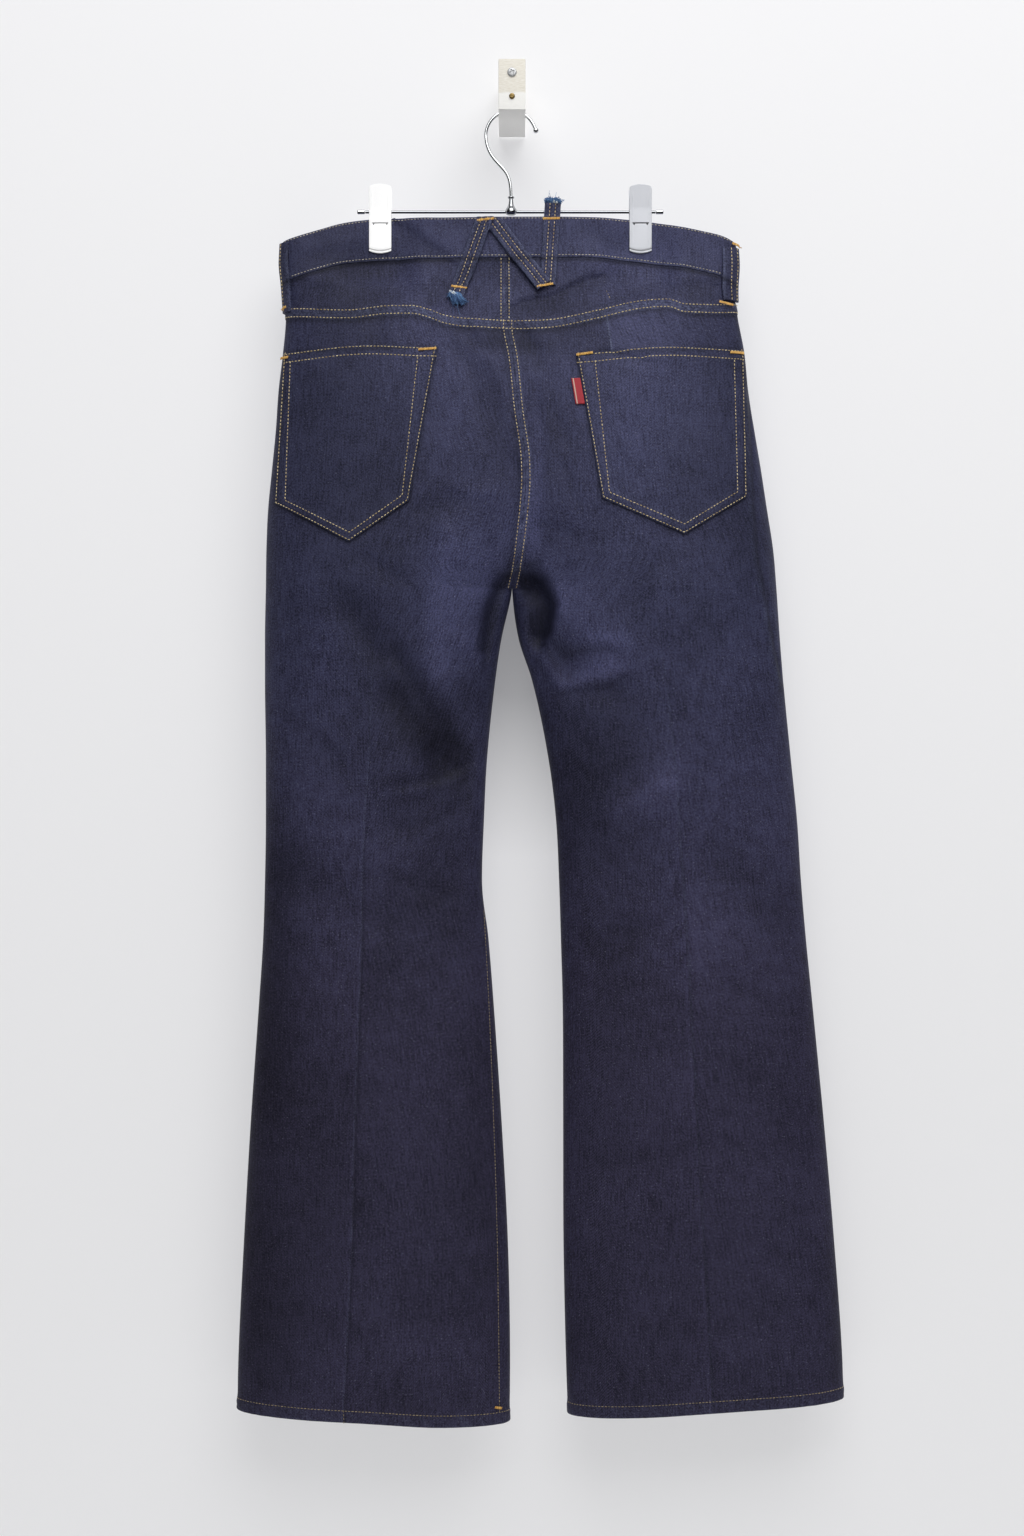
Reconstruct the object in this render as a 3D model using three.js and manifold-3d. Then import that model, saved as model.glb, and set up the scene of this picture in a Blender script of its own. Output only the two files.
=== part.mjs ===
// Flared jeans held by the waistband in a clip hanger, whose hook hangs in a slotted wall block.
// Millimetres, +Z up, +X to the right as the back of the jeans is seen, -Y away from the wall.
// The origin is the middle of the block's face on the wall. The jeans' back faces -Y.

import * as THREE from "three";
import { mergeVertices } from "three/addons/utils/BufferGeometryUtils.js";
import Module from "manifold-3d";

const wasm = await Module();
wasm.setup();

// Driving sizes
const hangPlane = -55; // Y of the hanger's wire and of the cloth's middle plane
const crotchHeight = -446;
const gap = 0.3; // between neighbouring pieces
const denim = 1.6; // wall of a leg panel
const bandHeight = 37.5;
const bandWall = 2.6; // folded waistband with its seam allowance
const bandRaise = 0.8; // the band's face over the panels' face
const lapDrop = 3.0; // the band's under end below its upper end
const hemFold = 11.5;
const hemStep = 1.5;
const hemRaise = 0.7;
const seatRise = { back: 95, front: 75 }; // height over which the legs join into one body
const sideFade = 16; // folds fade out this near a side seam
const loopWidth = 14.5;
const loopWall = 2.0;
const pocketLift = 0.6;
const pocketWall = 1.3;
const facingDrop = 0.9;
const facingWall = 1.2;
const clipMiddles = { left: -118.4, right: 115.5 };
const gripDepth = 2.6; // half the closed waist between a clip's jaws
const gripFlat = 12; // the cloth is flat this far to each side of a clip's middle
const gripFade = 42;
const gripFloor = -196; // the clips' hold on the cloth ends at this height
const gripRise = 44; // and is full this far above it
const clipHeight = -150; // height at which the columns of points are set to the clips
const barHeight = -105.6;
const slopeStep = 0.4; // half the distance over which the cloth's slope is measured

// Sections of the jeans from the waist down. Columns: height; X of the left side, left back seam and left
// inner edge; X of the right inner edge, right back seam and right side; depth of the back and of the
// front from the middle plane; radius of the side. Above the crotch the inner edges are the centre seams.
const sectionColumns = [
  "z", "outerLeft", "seamLeft", "innerLeft", "innerRight", "seamRight", "outerRight",
  "back", "front", "round",
];
const sections = [
  [-112, -206, -86, 0, 0, 80, 201, 7, 9, 6],
  [-150, -206, -89, 0, 0, 82, 201, 10, 12, 6],
  [-172, -204, -91, 0, 0, 83, 200, 15, 15, 7],
  [-200, -203.5, -93, 0, 0, 84, 203, 24, 20, 8],
  [-232, -206, -96, 0, 0, 88, 209, 32, 25, 9],
  [-266, -210, -100, 0, 0, 95, 212.5, 38, 30, 11],
  [-302, -212.5, -105, 0, 0, 103, 218, 42, 33, 12],
  [-338, -216, -110, 0, 0, 110, 224, 45, 35, 13],
  [-374, -219.5, -114, 0, 0, 116, 229.5, 47, 36, 13],
  [-410, -221, -117, 0, 0, 121, 235, 47, 37, 13],
  [-446, -221.5, -119, -0.15, 0.15, 126, 238, 45, 38, 13],
  [-490, -222.3, -122, -9.5, 6, 130, 241, 42, 37, 12],
  [-527, -222.3, -123, -15, 18, 135, 244, 40, 36, 12],
  [-599, -221.5, -126, -22.5, 33, 143, 251, 37, 33, 12],
  [-653, -221.5, -130, -25.2, 39.6, 147, 256.5, 34, 31, 12],
  [-707, -222.3, -132, -27, 42.3, 151, 260, 32, 29, 11],
  [-761, -224, -133, -21.5, 44, 155, 264.6, 30, 28, 11],
  [-815, -227.5, -135, -17.2, 45.5, 158, 270, 29, 27, 11],
  [-923, -235, -139, -9.9, 46, 164, 280.5, 28, 26, 11],
  [-1031, -241.2, -142, -4.2, 46.3, 170, 289.8, 28, 26, 11],
  [-1139, -246.3, -147, -2.2, 48.6, 176, 297.3, 29, 27, 11],
  [-1192, -247.2, -150, -2.6, 50.5, 179, 298.4, 30, 28, 11],
];

// The centre seams above the crotch. Columns: height, X of the seat seam, X of the front seam and fly.
const centreColumns = ["z", "back", "front"];
const centreSeams = [
  [-112, -4, 2],
  [-212, -4, 2],
  [-243, 1, 2],
  [-291, 6, 2],
  [-330, 11.5, 2],
  [-352, 12.3, 2],
  [-378, 10.5, 1.5],
  [-400, 8, 1],
  [-425, 4.5, 0.5],
  [-446, 0, 0],
];

// The waist's upper edge, which droops beyond the clips. Columns: X, height of the back, height of the front.
const waistColumns = ["x", "back", "front"];
const waistEdge = [
  [-207, -133.5, -133.5],
  [-189, -128, -128.5],
  [-171, -122.7, -123.5],
  [-153, -117.5, -118],
  [-135, -114, -115],
  [-99, -112.2, -115],
  [-60, -112, -119],
  [0, -111.3, -123],
  [60, -111.5, -119],
  [99, -113, -115.5],
  [135, -117.3, -118],
  [171, -124.5, -125],
  [189, -129, -129.5],
  [203, -135.5, -135.5],
];

// The yokes' lower seam, which waves with the cloth. Columns: X, height.
const yokeColumns = ["x", "z"];
const yokeSeam = [
  [-204, -198],
  [-146, -202],
  [-110, -198.3],
  [-90, -198.3],
  [-74, -202],
  [-60, -207.5],
  [-28, -211.2],
  [0, -212.5],
  [36, -211.2],
  [51, -208.5],
  [77, -202.3],
  [112, -194],
  [139, -191.8],
  [154, -196.5],
  [186, -195.8],
  [203, -193.5],
];

// The hem's lower edge. Columns: X, height.
const hemColumns = ["x", "z"];
const hemEdge = {
  left: [
    [-247, -1182],
    [-135, -1187.5],
    [-70, -1191.5],
    [-2, -1192.8],
  ],
  right: [
    [50, -1186],
    [110, -1183.5],
    [190, -1178],
    [298, -1172],
  ],
};

// The largest folds, each a soft trough or ridge along a line. Columns: face, the line's two ends, the
// fold's half width, and its depth: minus for a trough, plus for a ridge.
const foldColumns = ["face", "x0", "z0", "x1", "z1", "width", "depth"];
const folds = [
  ["back", -101, -545, -62, -597, 13, -7],
  ["back", -62, -597, -43, -616, 12, -5],
  ["back", -97, -651, -50, -632, 11, -3],
  ["back", -46, -420, -52, -520, 20, 4],
  ["back", -146, -462, -112, -512, 14, -3],
  ["back", 34, -516, 84, -532, 13, -5],
  ["back", 44, -470, 80, -500, 20, 4],
  ["back", 30, -455, 28, -482, 14, -5],
  ["back", 95, -645, 132, -622, 16, 3],
  ["back", -190, -700, -120, -735, 18, -3],
  ["back", 190, -690, 235, -735, 18, -3],
  ["front", -40, -470, -120, -430, 18, -5],
  ["front", 42, -474, 126, -436, 18, -5],
  ["front", -60, -600, -120, -560, 17, -5],
  ["front", 66, -612, 140, -570, 17, -5],
  ["front", -70, -690, -150, -672, 16, 4],
  ["front", 90, -700, 170, -678, 16, 4],
];

// Heights of the rows of points below the crotch, down to the hem, and shares of the height above it.
const legLength = 742;
const legRows = [
  0, 4, 10, 18, 28, 40, 54, 70, 88, 106, 124, 142, 160, 178, 198, 222, 252, 290, 340, 400, 465, 535, 605, 670,
  legLength - hemFold - hemStep, legLength - hemFold, legLength,
];
const bodyRows = [0.016, 0.04, 0.075, 0.12, 0.18, 0.25, 0.33, 0.42, 0.52, 0.63, 0.74, 0.84, 0.92, 1];

const named = (columns, rows) =>
  rows.map((row) => Object.fromEntries(columns.map((name, i) => [name, row[i]])));
const clamp = (value, low, high) => Math.min(high, Math.max(low, value));
const mix = (a, b, share) => a + (b - a) * share;
const between = (a, b, share) => [mix(a[0], b[0], share), mix(a[1], b[1], share)];
const soft = (share) => {
  const t = clamp(share, 0, 1);
  return t * t * (3 - 2 * t);
};

// A smooth curve through one column of a table, read at any value of the key column.
function curve(table, key, column) {
  const rows = [...table].sort((a, b) => a[key] - b[key]);
  const at = rows.map((row) => row[key]);
  const value = rows.map((row) => row[column]);
  const rise = at.slice(1).map((x, i) => (value[i + 1] - value[i]) / (x - at[i]));
  const slope = at.map((_, i) => {
    if (i === 0 || i === at.length - 1) return rise[Math.min(i, rise.length - 1)];
    return rise[i - 1] * rise[i] <= 0 ? 0 : (rise[i - 1] + rise[i]) / 2;
  });
  return (x) => {
    if (x <= at[0]) return value[0];
    if (x >= at[at.length - 1]) return value[value.length - 1];
    const i = at.findIndex((next) => next > x) - 1;
    const span = at[i + 1] - at[i];
    const t = (x - at[i]) / span;
    const start = (1 + 2 * t) * (1 - t) ** 2 * value[i] + t * (1 - t) ** 2 * span * slope[i];
    return start + t * t * (3 - 2 * t) * value[i + 1] + t * t * (t - 1) * span * slope[i + 1];
  };
}

const sectionTable = named(sectionColumns, sections);
const along = {};
for (const name of sectionColumns.slice(1)) along[name] = curve(sectionTable, "z", name);
const centreTable = named(centreColumns, centreSeams);
const centre = { back: curve(centreTable, "z", "back"), front: curve(centreTable, "z", "front") };
const waistTable = named(waistColumns, waistEdge);
const waistTop = { back: curve(waistTable, "x", "back"), front: curve(waistTable, "x", "front") };
const yokeLine = curve(named(yokeColumns, yokeSeam), "x", "z");
const hemLine = {
  left: curve(named(hemColumns, hemEdge.left), "x", "z"),
  right: curve(named(hemColumns, hemEdge.right), "x", "z"),
};
const foldTable = named(foldColumns, folds);

// The form of the cloth

const sideSign = { left: -1, right: 1 };
const faceSign = { back: -1, front: 1 };
const titled = { left: "Left", right: "Right" };

const bandLower = (face, x) => waistTop[face](x) - bandHeight;

function edges(side, face, z) {
  const outer = along[`outer${titled[side]}`](z);
  const above = centre[face](z) + (sideSign[side] * gap) / 2;
  const inner = z >= crotchHeight ? above : along[`inner${titled[side]}`](z);
  return { inner, outer };
}

// How far the two legs have joined into one body: 0 at the crotch and below, 1 at the seat and above.
function joined(face, z) {
  const t = clamp((z - crotchHeight) / seatRise[face], 0, 1);
  return t * (2 - t);
}

// How firmly a clip holds the waist at this place.
function grip(x, z) {
  const near = Math.min(Math.abs(x - clipMiddles.left), Math.abs(x - clipMiddles.right));
  const across = soft((gripFade - near) / (gripFade - gripFlat));
  const down = soft((z - gripFloor) / gripRise);
  return across * down;
}

// The square of the cloth's depth from the middle plane, which is zero at a leg's edges.
function squaredDepth(side, face, x, z) {
  const { inner, outer } = edges(side, face, z);
  const width = Math.abs(outer - inner);
  const depth = along[face](z);
  const share = (x - inner) / (outer - inner);
  const fullness = (width * along.round(z)) / depth ** 2;
  const body = 1 - Math.abs(share) ** clamp(2 * fullness, 2, 40);
  const leg = 1 - Math.abs(2 * share - 1) ** clamp(fullness, 2, 6);
  const whole = joined(face, z);
  const round = depth ** 2 * (whole * body + (1 - whole) * leg);
  const held = grip(x, z);
  if (round <= 0 || held === 0) return round;
  return mix(Math.sqrt(round), gripDepth, held) ** 2;
}

function foldDepth(side, face, x, z) {
  const { inner, outer } = edges(side, face, z);
  const whole = joined(face, z);
  const fade = soft(Math.abs(outer - x) / sideFade) * mix(soft(Math.abs(x - inner) / sideFade), 1, whole);
  if (fade === 0) return 0;
  let sum = 0;
  for (const fold of foldTable) {
    if (fold.face !== face) continue;
    const run = [fold.x1 - fold.x0, fold.z1 - fold.z0];
    const t = clamp(((x - fold.x0) * run[0] + (z - fold.z0) * run[1]) / (run[0] ** 2 + run[1] ** 2), 0, 1);
    const away = Math.hypot(x - fold.x0 - t * run[0], z - fold.z0 - t * run[1]) / fold.width;
    sum += fold.depth * Math.exp(-(away ** 2) / 2);
  }
  return sum * fade;
}

// A point over the cloth at X and Z, moved out from its face by `lift`, or in when that is minus.
function over(side, face, x, z, lift, least = gap / 2) {
  const root = Math.sqrt(Math.max(0, squaredDepth(side, face, x, z)));
  const slope = (measure) => {
    const across = measure(side, face, x + slopeStep, z) - measure(side, face, x - slopeStep, z);
    const down = measure(side, face, x, z + slopeStep) - measure(side, face, x, z - slopeStep);
    return [across / (2 * slopeStep), down / (2 * slopeStep)];
  };
  const [depthX, depthZ] = slope(squaredDepth);
  const [foldX, foldZ] = slope(foldDepth);
  const out = new THREE.Vector3(-depthX - 2 * root * foldX, 2 * root, -depthZ - 2 * root * foldZ);
  out.normalize();
  const depth = Math.max(root, least) + foldDepth(side, face, x, z);
  const y = hangPlane + faceSign[face] * (depth + out.y * lift);
  return new THREE.Vector3(x + out.x * lift, y, z + out.z * lift);
}

// The same point given by its share of the way from the inner to the outer edge.
function overShare(side, face, share, z, lift, least) {
  const { inner, outer } = edges(side, face, z);
  return over(side, face, mix(inner, outer, share), z, lift, least);
}

// The same point anywhere on the back or front above the crotch.
function overBody(face, x, z, lift) {
  return over(x < centre[face](z) ? "left" : "right", face, x, z, lift);
}

// Closed bodies

function closed(geometry) {
  const bare = geometry.clone();
  bare.deleteAttribute("normal");
  bare.deleteAttribute("uv");
  const merged = mergeVertices(bare, 1e-4);
  const position = merged.attributes.position;
  const index = merged.index.array;
  const corner = (i) => new THREE.Vector3().fromBufferAttribute(position, i);
  const kept = [];
  let volume = 0;
  for (let i = 0; i < index.length; i += 3) {
    const [a, b, c] = [index[i], index[i + 1], index[i + 2]];
    if (a === b || b === c || c === a) continue;
    kept.push([a, b, c]);
    volume += corner(a).dot(corner(b).cross(corner(c)));
  }
  merged.setIndex(kept.flatMap(([a, b, c]) => (volume < 0 ? [a, c, b] : [a, b, c])));
  merged.computeVertexNormals();
  return merged;
}

// A wall of cloth from a grid of places: pointAt(row, column, lift) gives the points of both its skins.
function wall(rows, columns, pointAt, raise, thickness) {
  const points = [];
  const lifts = (row, column) => (typeof raise === "function" ? raise(row, column) : raise);
  for (const skin of [0, thickness]) {
    for (let row = 0; row < rows; row++) {
      for (let column = 0; column < columns; column++) {
        points.push(...pointAt(row, column, lifts(row, column) - skin).toArray());
      }
    }
  }
  const outer = (row, column) => row * columns + column;
  const inner = (row, column) => rows * columns + outer(row, column);
  const faces = [];
  const quad = (a, b, c, d) => faces.push(a, b, c, a, c, d);
  for (let row = 0; row + 1 < rows; row++) {
    for (let column = 0; column + 1 < columns; column++) {
      quad(outer(row, column), outer(row, column + 1), outer(row + 1, column + 1), outer(row + 1, column));
      quad(inner(row, column), inner(row + 1, column), inner(row + 1, column + 1), inner(row, column + 1));
    }
  }
  const rim = (a, b) => quad(outer(...b), outer(...a), inner(...a), inner(...b));
  for (let column = 0; column + 1 < columns; column++) {
    rim([0, column], [0, column + 1]);
    rim([rows - 1, column + 1], [rows - 1, column]);
  }
  for (let row = 0; row + 1 < rows; row++) {
    rim([row, columns - 1], [row + 1, columns - 1]);
    rim([row + 1, 0], [row, 0]);
  }
  const geometry = new THREE.BufferGeometry();
  geometry.setAttribute("position", new THREE.Float32BufferAttribute(points, 3));
  geometry.setIndex(faces);
  return closed(geometry);
}

function toSolid(geometry) {
  const merged = closed(geometry);
  const vertProperties = new Float32Array(merged.attributes.position.array);
  const triVerts = new Uint32Array(merged.index.array);
  return new wasm.Manifold(new wasm.Mesh({ numProp: 3, vertProperties, triVerts }));
}

function fromSolid(solid) {
  const mesh = solid.getMesh();
  const geometry = new THREE.BufferGeometry();
  geometry.setAttribute("position", new THREE.Float32BufferAttribute(mesh.vertProperties, 3));
  geometry.setIndex([...mesh.triVerts]);
  return closed(geometry);
}

// Finishes

const finishes = {
  denim: new THREE.MeshStandardMaterial({ color: "#2c2c42", roughness: 0.95 }),
  tape: new THREE.MeshStandardMaterial({ color: "#a8323c", roughness: 0.9 }),
  fray: new THREE.MeshStandardMaterial({ color: "#5f86b4", roughness: 0.95 }),
  steel: new THREE.MeshStandardMaterial({ color: "#c9cacc", roughness: 0.3, metalness: 1 }),
  brass: new THREE.MeshStandardMaterial({ color: "#a98a55", roughness: 0.4, metalness: 1 }),
  paint: new THREE.MeshStandardMaterial({ color: "#e3e0d6", roughness: 0.7 }),
};

const jeans = new THREE.Group();
const hanger = new THREE.Group();
const wallHook = new THREE.Group();

function add(group, name, geometry, finish) {
  const mesh = new THREE.Mesh(geometry, finishes[finish]);
  mesh.name = name;
  group.add(mesh);
  return mesh;
}

// Leg panels

// Height of a row of points: below the crotch it runs with the hem, above it with the panel's upper edge.
function rowHeight(row, side, x, top) {
  if (row < bodyRows.length) {
    const height = mix(crotchHeight, top(x), bodyRows[bodyRows.length - 1 - row]);
    return row === 0 ? height - gap / 2 : height;
  }
  const down = legRows[row - bodyRows.length] / legLength;
  return mix(crotchHeight, hemLine[side](x), down);
}

// A panel between two lines down the leg, with its columns of points at `shares` of the way across.
function legPanel(side, face, from, to, shares, top) {
  const rows = bodyRows.length + legRows.length;
  const place = (row, column) => {
    let z = crotchHeight;
    let x = 0;
    for (let turn = 0; turn < 4; turn++) {
      x = mix(from(z), to(z), shares[column]);
      z = rowHeight(row, side, x, top);
    }
    return [x, z];
  };
  const pointAt = (row, column, lift) => over(side, face, ...place(row, column), lift);
  const raise = (row) => (row >= rows - 2 ? hemRaise : 0);
  return wall(rows, shares.length, pointAt, raise, denim);
}

const denseAtStart = (share) => 1 - Math.cos((share * Math.PI) / 2);
const denseAtEnd = (share) => Math.sin((share * Math.PI) / 2);

// Shares across a panel for its columns of points. One column lies at each side of the clip's flat.
const atClip = (side, from, to) => [-1, 1].map((way) => {
  const edge = clipMiddles[side] + way * sideSign[side] * gripFlat;
  return (edge - from) / (to - from);
});
const towardsEnd = (from, steps) =>
  Array.from({ length: steps }, (_, i) => mix(from, 1, denseAtEnd((i + 1) / steps)));
const outerBackShares = (side) => {
  const seamX = along[`seam${titled[side]}`](clipHeight);
  const [near, far] = atClip(side, seamX, along[`outer${titled[side]}`](clipHeight));
  return [0, near, far, ...towardsEnd(far, 4)];
};
const frontShares = (side) => {
  const [near, far] = atClip(side, 0, along[`outer${titled[side]}`](clipHeight));
  const inside = [0, 0.2, 0.4, 0.6, 0.8, 1].map((share) => near * denseAtStart(share));
  return [...inside, far, ...towardsEnd(far, 6)];
};
const innerBackShares = [0, 1, 2, 3, 4, 5, 6].map((column) => denseAtStart(column / 6));
const panelShares = {
  backOuter: { left: outerBackShares("left"), right: outerBackShares("right") },
  front: { left: frontShares("left"), right: frontShares("right") },
};

function backPanels(side) {
  const inner = (z) => edges(side, "back", z).inner;
  const outer = (z) => edges(side, "back", z).outer;
  const seam = (offset) => (z) => along[`seam${titled[side]}`](z) + (sideSign[side] * offset * gap) / 2;
  const innerPanel = legPanel(side, "back", inner, seam(-1), innerBackShares, yokeLine);
  const outerPanel = legPanel(side, "back", seam(1), outer, panelShares.backOuter[side], yokeLine);
  add(jeans, `back_inner_${side}`, innerPanel, "denim");
  add(jeans, `back_outer_${side}`, outerPanel, "denim");
}

// X of a column of points in the body above the legs, the same for the panels, the yoke and the band.
function bodyColumn(side, face, column, z) {
  const { inner, outer } = edges(side, face, z);
  if (face === "front") return mix(inner, outer, panelShares.front[side][column]);
  const seam = along[`seam${titled[side]}`](z);
  const last = innerBackShares.length - 1;
  if (column <= last) return mix(inner, seam, innerBackShares[column]);
  return mix(seam, outer, panelShares.backOuter[side][column - last]);
}

const columnCount = {
  back: innerBackShares.length + panelShares.backOuter.left.length - 1,
  front: panelShares.front.left.length,
};

// X and Z of a column's point on a line such as a seam, which is given as a height for each X.
function onLine(side, face, column, line) {
  let z = line(0);
  let x = 0;
  for (let turn = 0; turn < 6; turn++) {
    x = bodyColumn(side, face, column, z);
    z = line(x);
  }
  return [x, z];
}

// Hip pocket openings cut out of the front panels' upper corners. The facing behind starts at one of the
// panel's columns of points, `firstShare` of the way to the next.
const opening = {
  column: 5,
  firstShare: 0.3,
  start: 101,
  left: -204.5,
  right: 207,
  sideHeight: -238,
  power: 2.2,
};

function openingHeight(x) {
  const end = x < 0 ? opening.left : opening.right;
  const start = Math.sign(x) * opening.start;
  const share = clamp((x - start) / (end - start), 0, 1);
  return mix(opening.sideHeight, bandLower("front", start), (1 - share) ** opening.power);
}

function frontTop(x) {
  return Math.abs(x) < opening.start ? bandLower("front", x) : openingHeight(x);
}

function frontPanel(side) {
  const inner = (z) => edges(side, "front", z).inner;
  const outer = (z) => edges(side, "front", z).outer;
  const panel = legPanel(side, "front", inner, outer, panelShares.front[side], frontTop);
  add(jeans, `front_${side}`, panel, "denim");
}

function pocketFacing(side) {
  const rows = 4;
  const columns = columnCount.front - opening.column;
  const place = (row, column) => {
    const line = (x) => mix(bandLower("front", x) - gap, frontTop(x) + 2 * gap, row / (rows - 1));
    const next = onLine(side, "front", column, line);
    if (column > opening.column) return next;
    return between(next, onLine(side, "front", column + 1, line), opening.firstShare);
  };
  const pointAt = (row, column, lift) => over(side, "front", ...place(row, opening.column + column), lift);
  add(jeans, `pocket_facing_${side}`, wall(rows, columns, pointAt, -facingDrop, facingWall), "denim");
}

function yoke(side) {
  const rows = 4;
  const pointAt = (row, column, lift) => {
    const line = (x) => mix(bandLower("back", x) - gap / 2, yokeLine(x) + gap / 2, row / (rows - 1));
    return over(side, "back", ...onLine(side, "back", column, line), lift);
  };
  add(jeans, `yoke_${side}`, wall(rows, columnCount.back, pointAt, 0, denim), "denim");
}

// Waistband: one strip from its under end, round the right side and the back, to its upper end. Its two
// ends are given by their own X, the rest by the panels' columns of points.
const lapUnderColumns = [-30, -15, -4];
const lapUpperColumns = [3, 9.5, 15];
const lapRise = 24; // the under layer rises to the band's own height over this much width

function waistband() {
  const list = (count) => Array.from({ length: count }, (_, i) => i);
  const front = list(columnCount.front);
  const back = list(columnCount.back);
  const places = [];
  for (const x of lapUnderColumns) places.push({ side: "left", face: "front", x, layer: "under" });
  for (const column of front) places.push({ side: "right", face: "front", column, layer: "under" });
  for (const column of back.slice(0, -1).reverse()) places.push({ side: "right", face: "back", column });
  for (const column of back.slice(1)) places.push({ side: "left", face: "back", column });
  for (const column of front.slice(1, -1).reverse()) places.push({ side: "left", face: "front", column });
  for (const x of lapUpperColumns) places.push({ side: "right", face: "front", x });
  const rows = 3;
  const pointAt = (row, column, lift) => {
    const { side, face, x, column: own } = places[column];
    const bottomGap = row === rows - 1 ? gap / 2 : 0;
    const line = (at) => waistTop[face](at) - (bandHeight * row) / (rows - 1) + bottomGap;
    const [atX, z] = own === undefined ? [x, line(x)] : onLine(side, face, own, line);
    return over(side, face, atX, z, lift, 0);
  };
  const raise = (row, column) => {
    const { side, face, x, layer, column: own } = places[column];
    if (layer !== "under") return bandRaise;
    const at = x ?? bodyColumn(side, face, own, clipHeight);
    const past = lapUpperColumns[lapUpperColumns.length - 1] + lapRise - at;
    return bandRaise - lapDrop * soft(past / lapRise);
  };
  add(jeans, "waistband", wall(rows, places.length, pointAt, raise, bandWall), "denim");
}

// Fly: a lapped strip over the front seam, its free end rounded towards the seam
const fly = { width: 40, lap: 3, top: -161, length: 142, curve: 44, tipWidth: 3 };

function flyFlap() {
  const rows = 10;
  const columns = 4;
  const pointAt = (row, column, lift) => {
    const down = row / (rows - 1);
    const seam = centre.front(fly.top);
    const fromEnd = fly.length * (1 - down);
    const narrow = fromEnd < fly.curve ? Math.sqrt(1 - (1 - fromEnd / fly.curve) ** 2) : 1;
    const left = seam - Math.max(fly.tipWidth, fly.width * narrow);
    const x = mix(left, seam + fly.lap, column / (columns - 1));
    return overBody("front", x, fly.top - fly.length * down, lift);
  };
  add(jeans, "fly_flap", wall(rows, columns, pointAt, pocketLift + pocketWall, pocketWall), "denim");
}

// Patch pockets and the folded tape at the right one. Each corner is X and Z on the cloth.
const pockets = {
  left: {
    topOuter: [-203.5, -235],
    topInner: [-66.5, -233.5],
    inner: [-90.7, -371],
    tip: [-143.5, -407],
    outer: [-211, -370],
  },
  right: {
    topOuter: [206.5, -232],
    topInner: [57, -239.5],
    inner: [79.2, -368.5],
    tip: [152, -400],
    outer: [208.5, -365],
  },
};
const tab = {
  upperLeft: [52.3, -262],
  upperRight: [60.2, -261.7],
  lowerRight: [64.2, -285],
  lowerLeft: [56, -285.2],
  wall: 1.3,
};

function backPocket(side) {
  const corners = pockets[side];
  const columns = 13;
  const rows = 9;
  const tipColumn = 7;
  const tipShare = denseAtStart(tipColumn / (columns - 1));
  const pointAt = (row, column, lift) => {
    const share = denseAtStart(column / (columns - 1));
    const top = between(corners.topOuter, corners.topInner, share);
    const low = column <= tipColumn
      ? between(corners.outer, corners.tip, share / tipShare)
      : between(corners.tip, corners.inner, (share - tipShare) / (1 - tipShare));
    const [x, z] = between(top, low, row / (rows - 1));
    return over(side, "back", x, z, lift);
  };
  const pocket = wall(rows, columns, pointAt, pocketLift + pocketWall, pocketWall);
  add(jeans, `back_pocket_${side}`, pocket, "denim");
}

function pocketTab() {
  const pointAt = (row, column, lift) => {
    const upper = between(tab.upperLeft, tab.upperRight, column);
    const lower = between(tab.lowerLeft, tab.lowerRight, column);
    return overBody("back", ...between(upper, lower, row / 2), lift);
  };
  add(jeans, "pocket_tab", wall(3, 2, pointAt, pocketLift + tab.wall, tab.wall), "tape");
}

// Belt loops. A run of loop follows a line over the cloth between two places, each X and Z. Columns: node,
// face, the line's ends, its height over the panels at its start, at the bend and at its end, and the
// bend's share of its length.
const runColumns = ["name", "face", "from", "to", "lifts", "bend"];
const loopRuns = [
  ["loop_strip_left_run", "back", [-24, -113], [-50, -185], [4.2, 4, 0.7], 0.22],
  ["loop_strip_cross_run", "back", [-18.8, -113], [28.6, -177], [1.4, 3.5, 3.5], 0.72],
  ["loop_strip_right_run", "back", [36.7, -99.5], [31.7, -175], [1.5, 1.4, 0.7], 0.62],
  ["loop_front_left", "front", [-60, -120], [-60, -179], [1.4, 1.9, 0.8], 0.5],
  ["loop_front_right", "front", [60, -120], [60, -179], [1.4, 1.9, 0.8], 0.5],
];

function liftAt({ lifts, bend }, share) {
  if (share < bend) return mix(lifts[0], lifts[1], share / bend);
  return mix(lifts[1], lifts[2], (share - bend) / (1 - bend));
}

function loopRun(run) {
  const rows = 9;
  const columns = 3;
  const way = new THREE.Vector2(run.to[0] - run.from[0], run.to[1] - run.from[1]).normalize();
  const pointAt = (row, column, lift) => {
    const [x, z] = between(run.from, run.to, row / (rows - 1));
    const aside = (column / (columns - 1) - 0.5) * loopWidth;
    return overBody(run.face, x - way.y * aside, z + way.x * aside, lift);
  };
  const raise = (row) => liftAt(run, row / (rows - 1)) + loopWall;
  add(jeans, run.name, wall(rows, columns, pointAt, raise, loopWall), "denim");
}

// Side loops lie over the side seam. Their points from one edge to the other are given by their share of
// the way out to the seam, on the back and then on the front.
const sideLoops = {
  left: { top: -135, bottom: -197, back: [0.968, 0.988, 0.997, 1], front: [0.997, 0.988, 0.972] },
  right: { top: -139.5, bottom: -187.5, back: [0.938, 0.965, 0.985, 0.996, 1], front: [] },
};
const sideLoopLift = { top: 1.3, bottom: 0.9, bulge: 1.8 };

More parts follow.
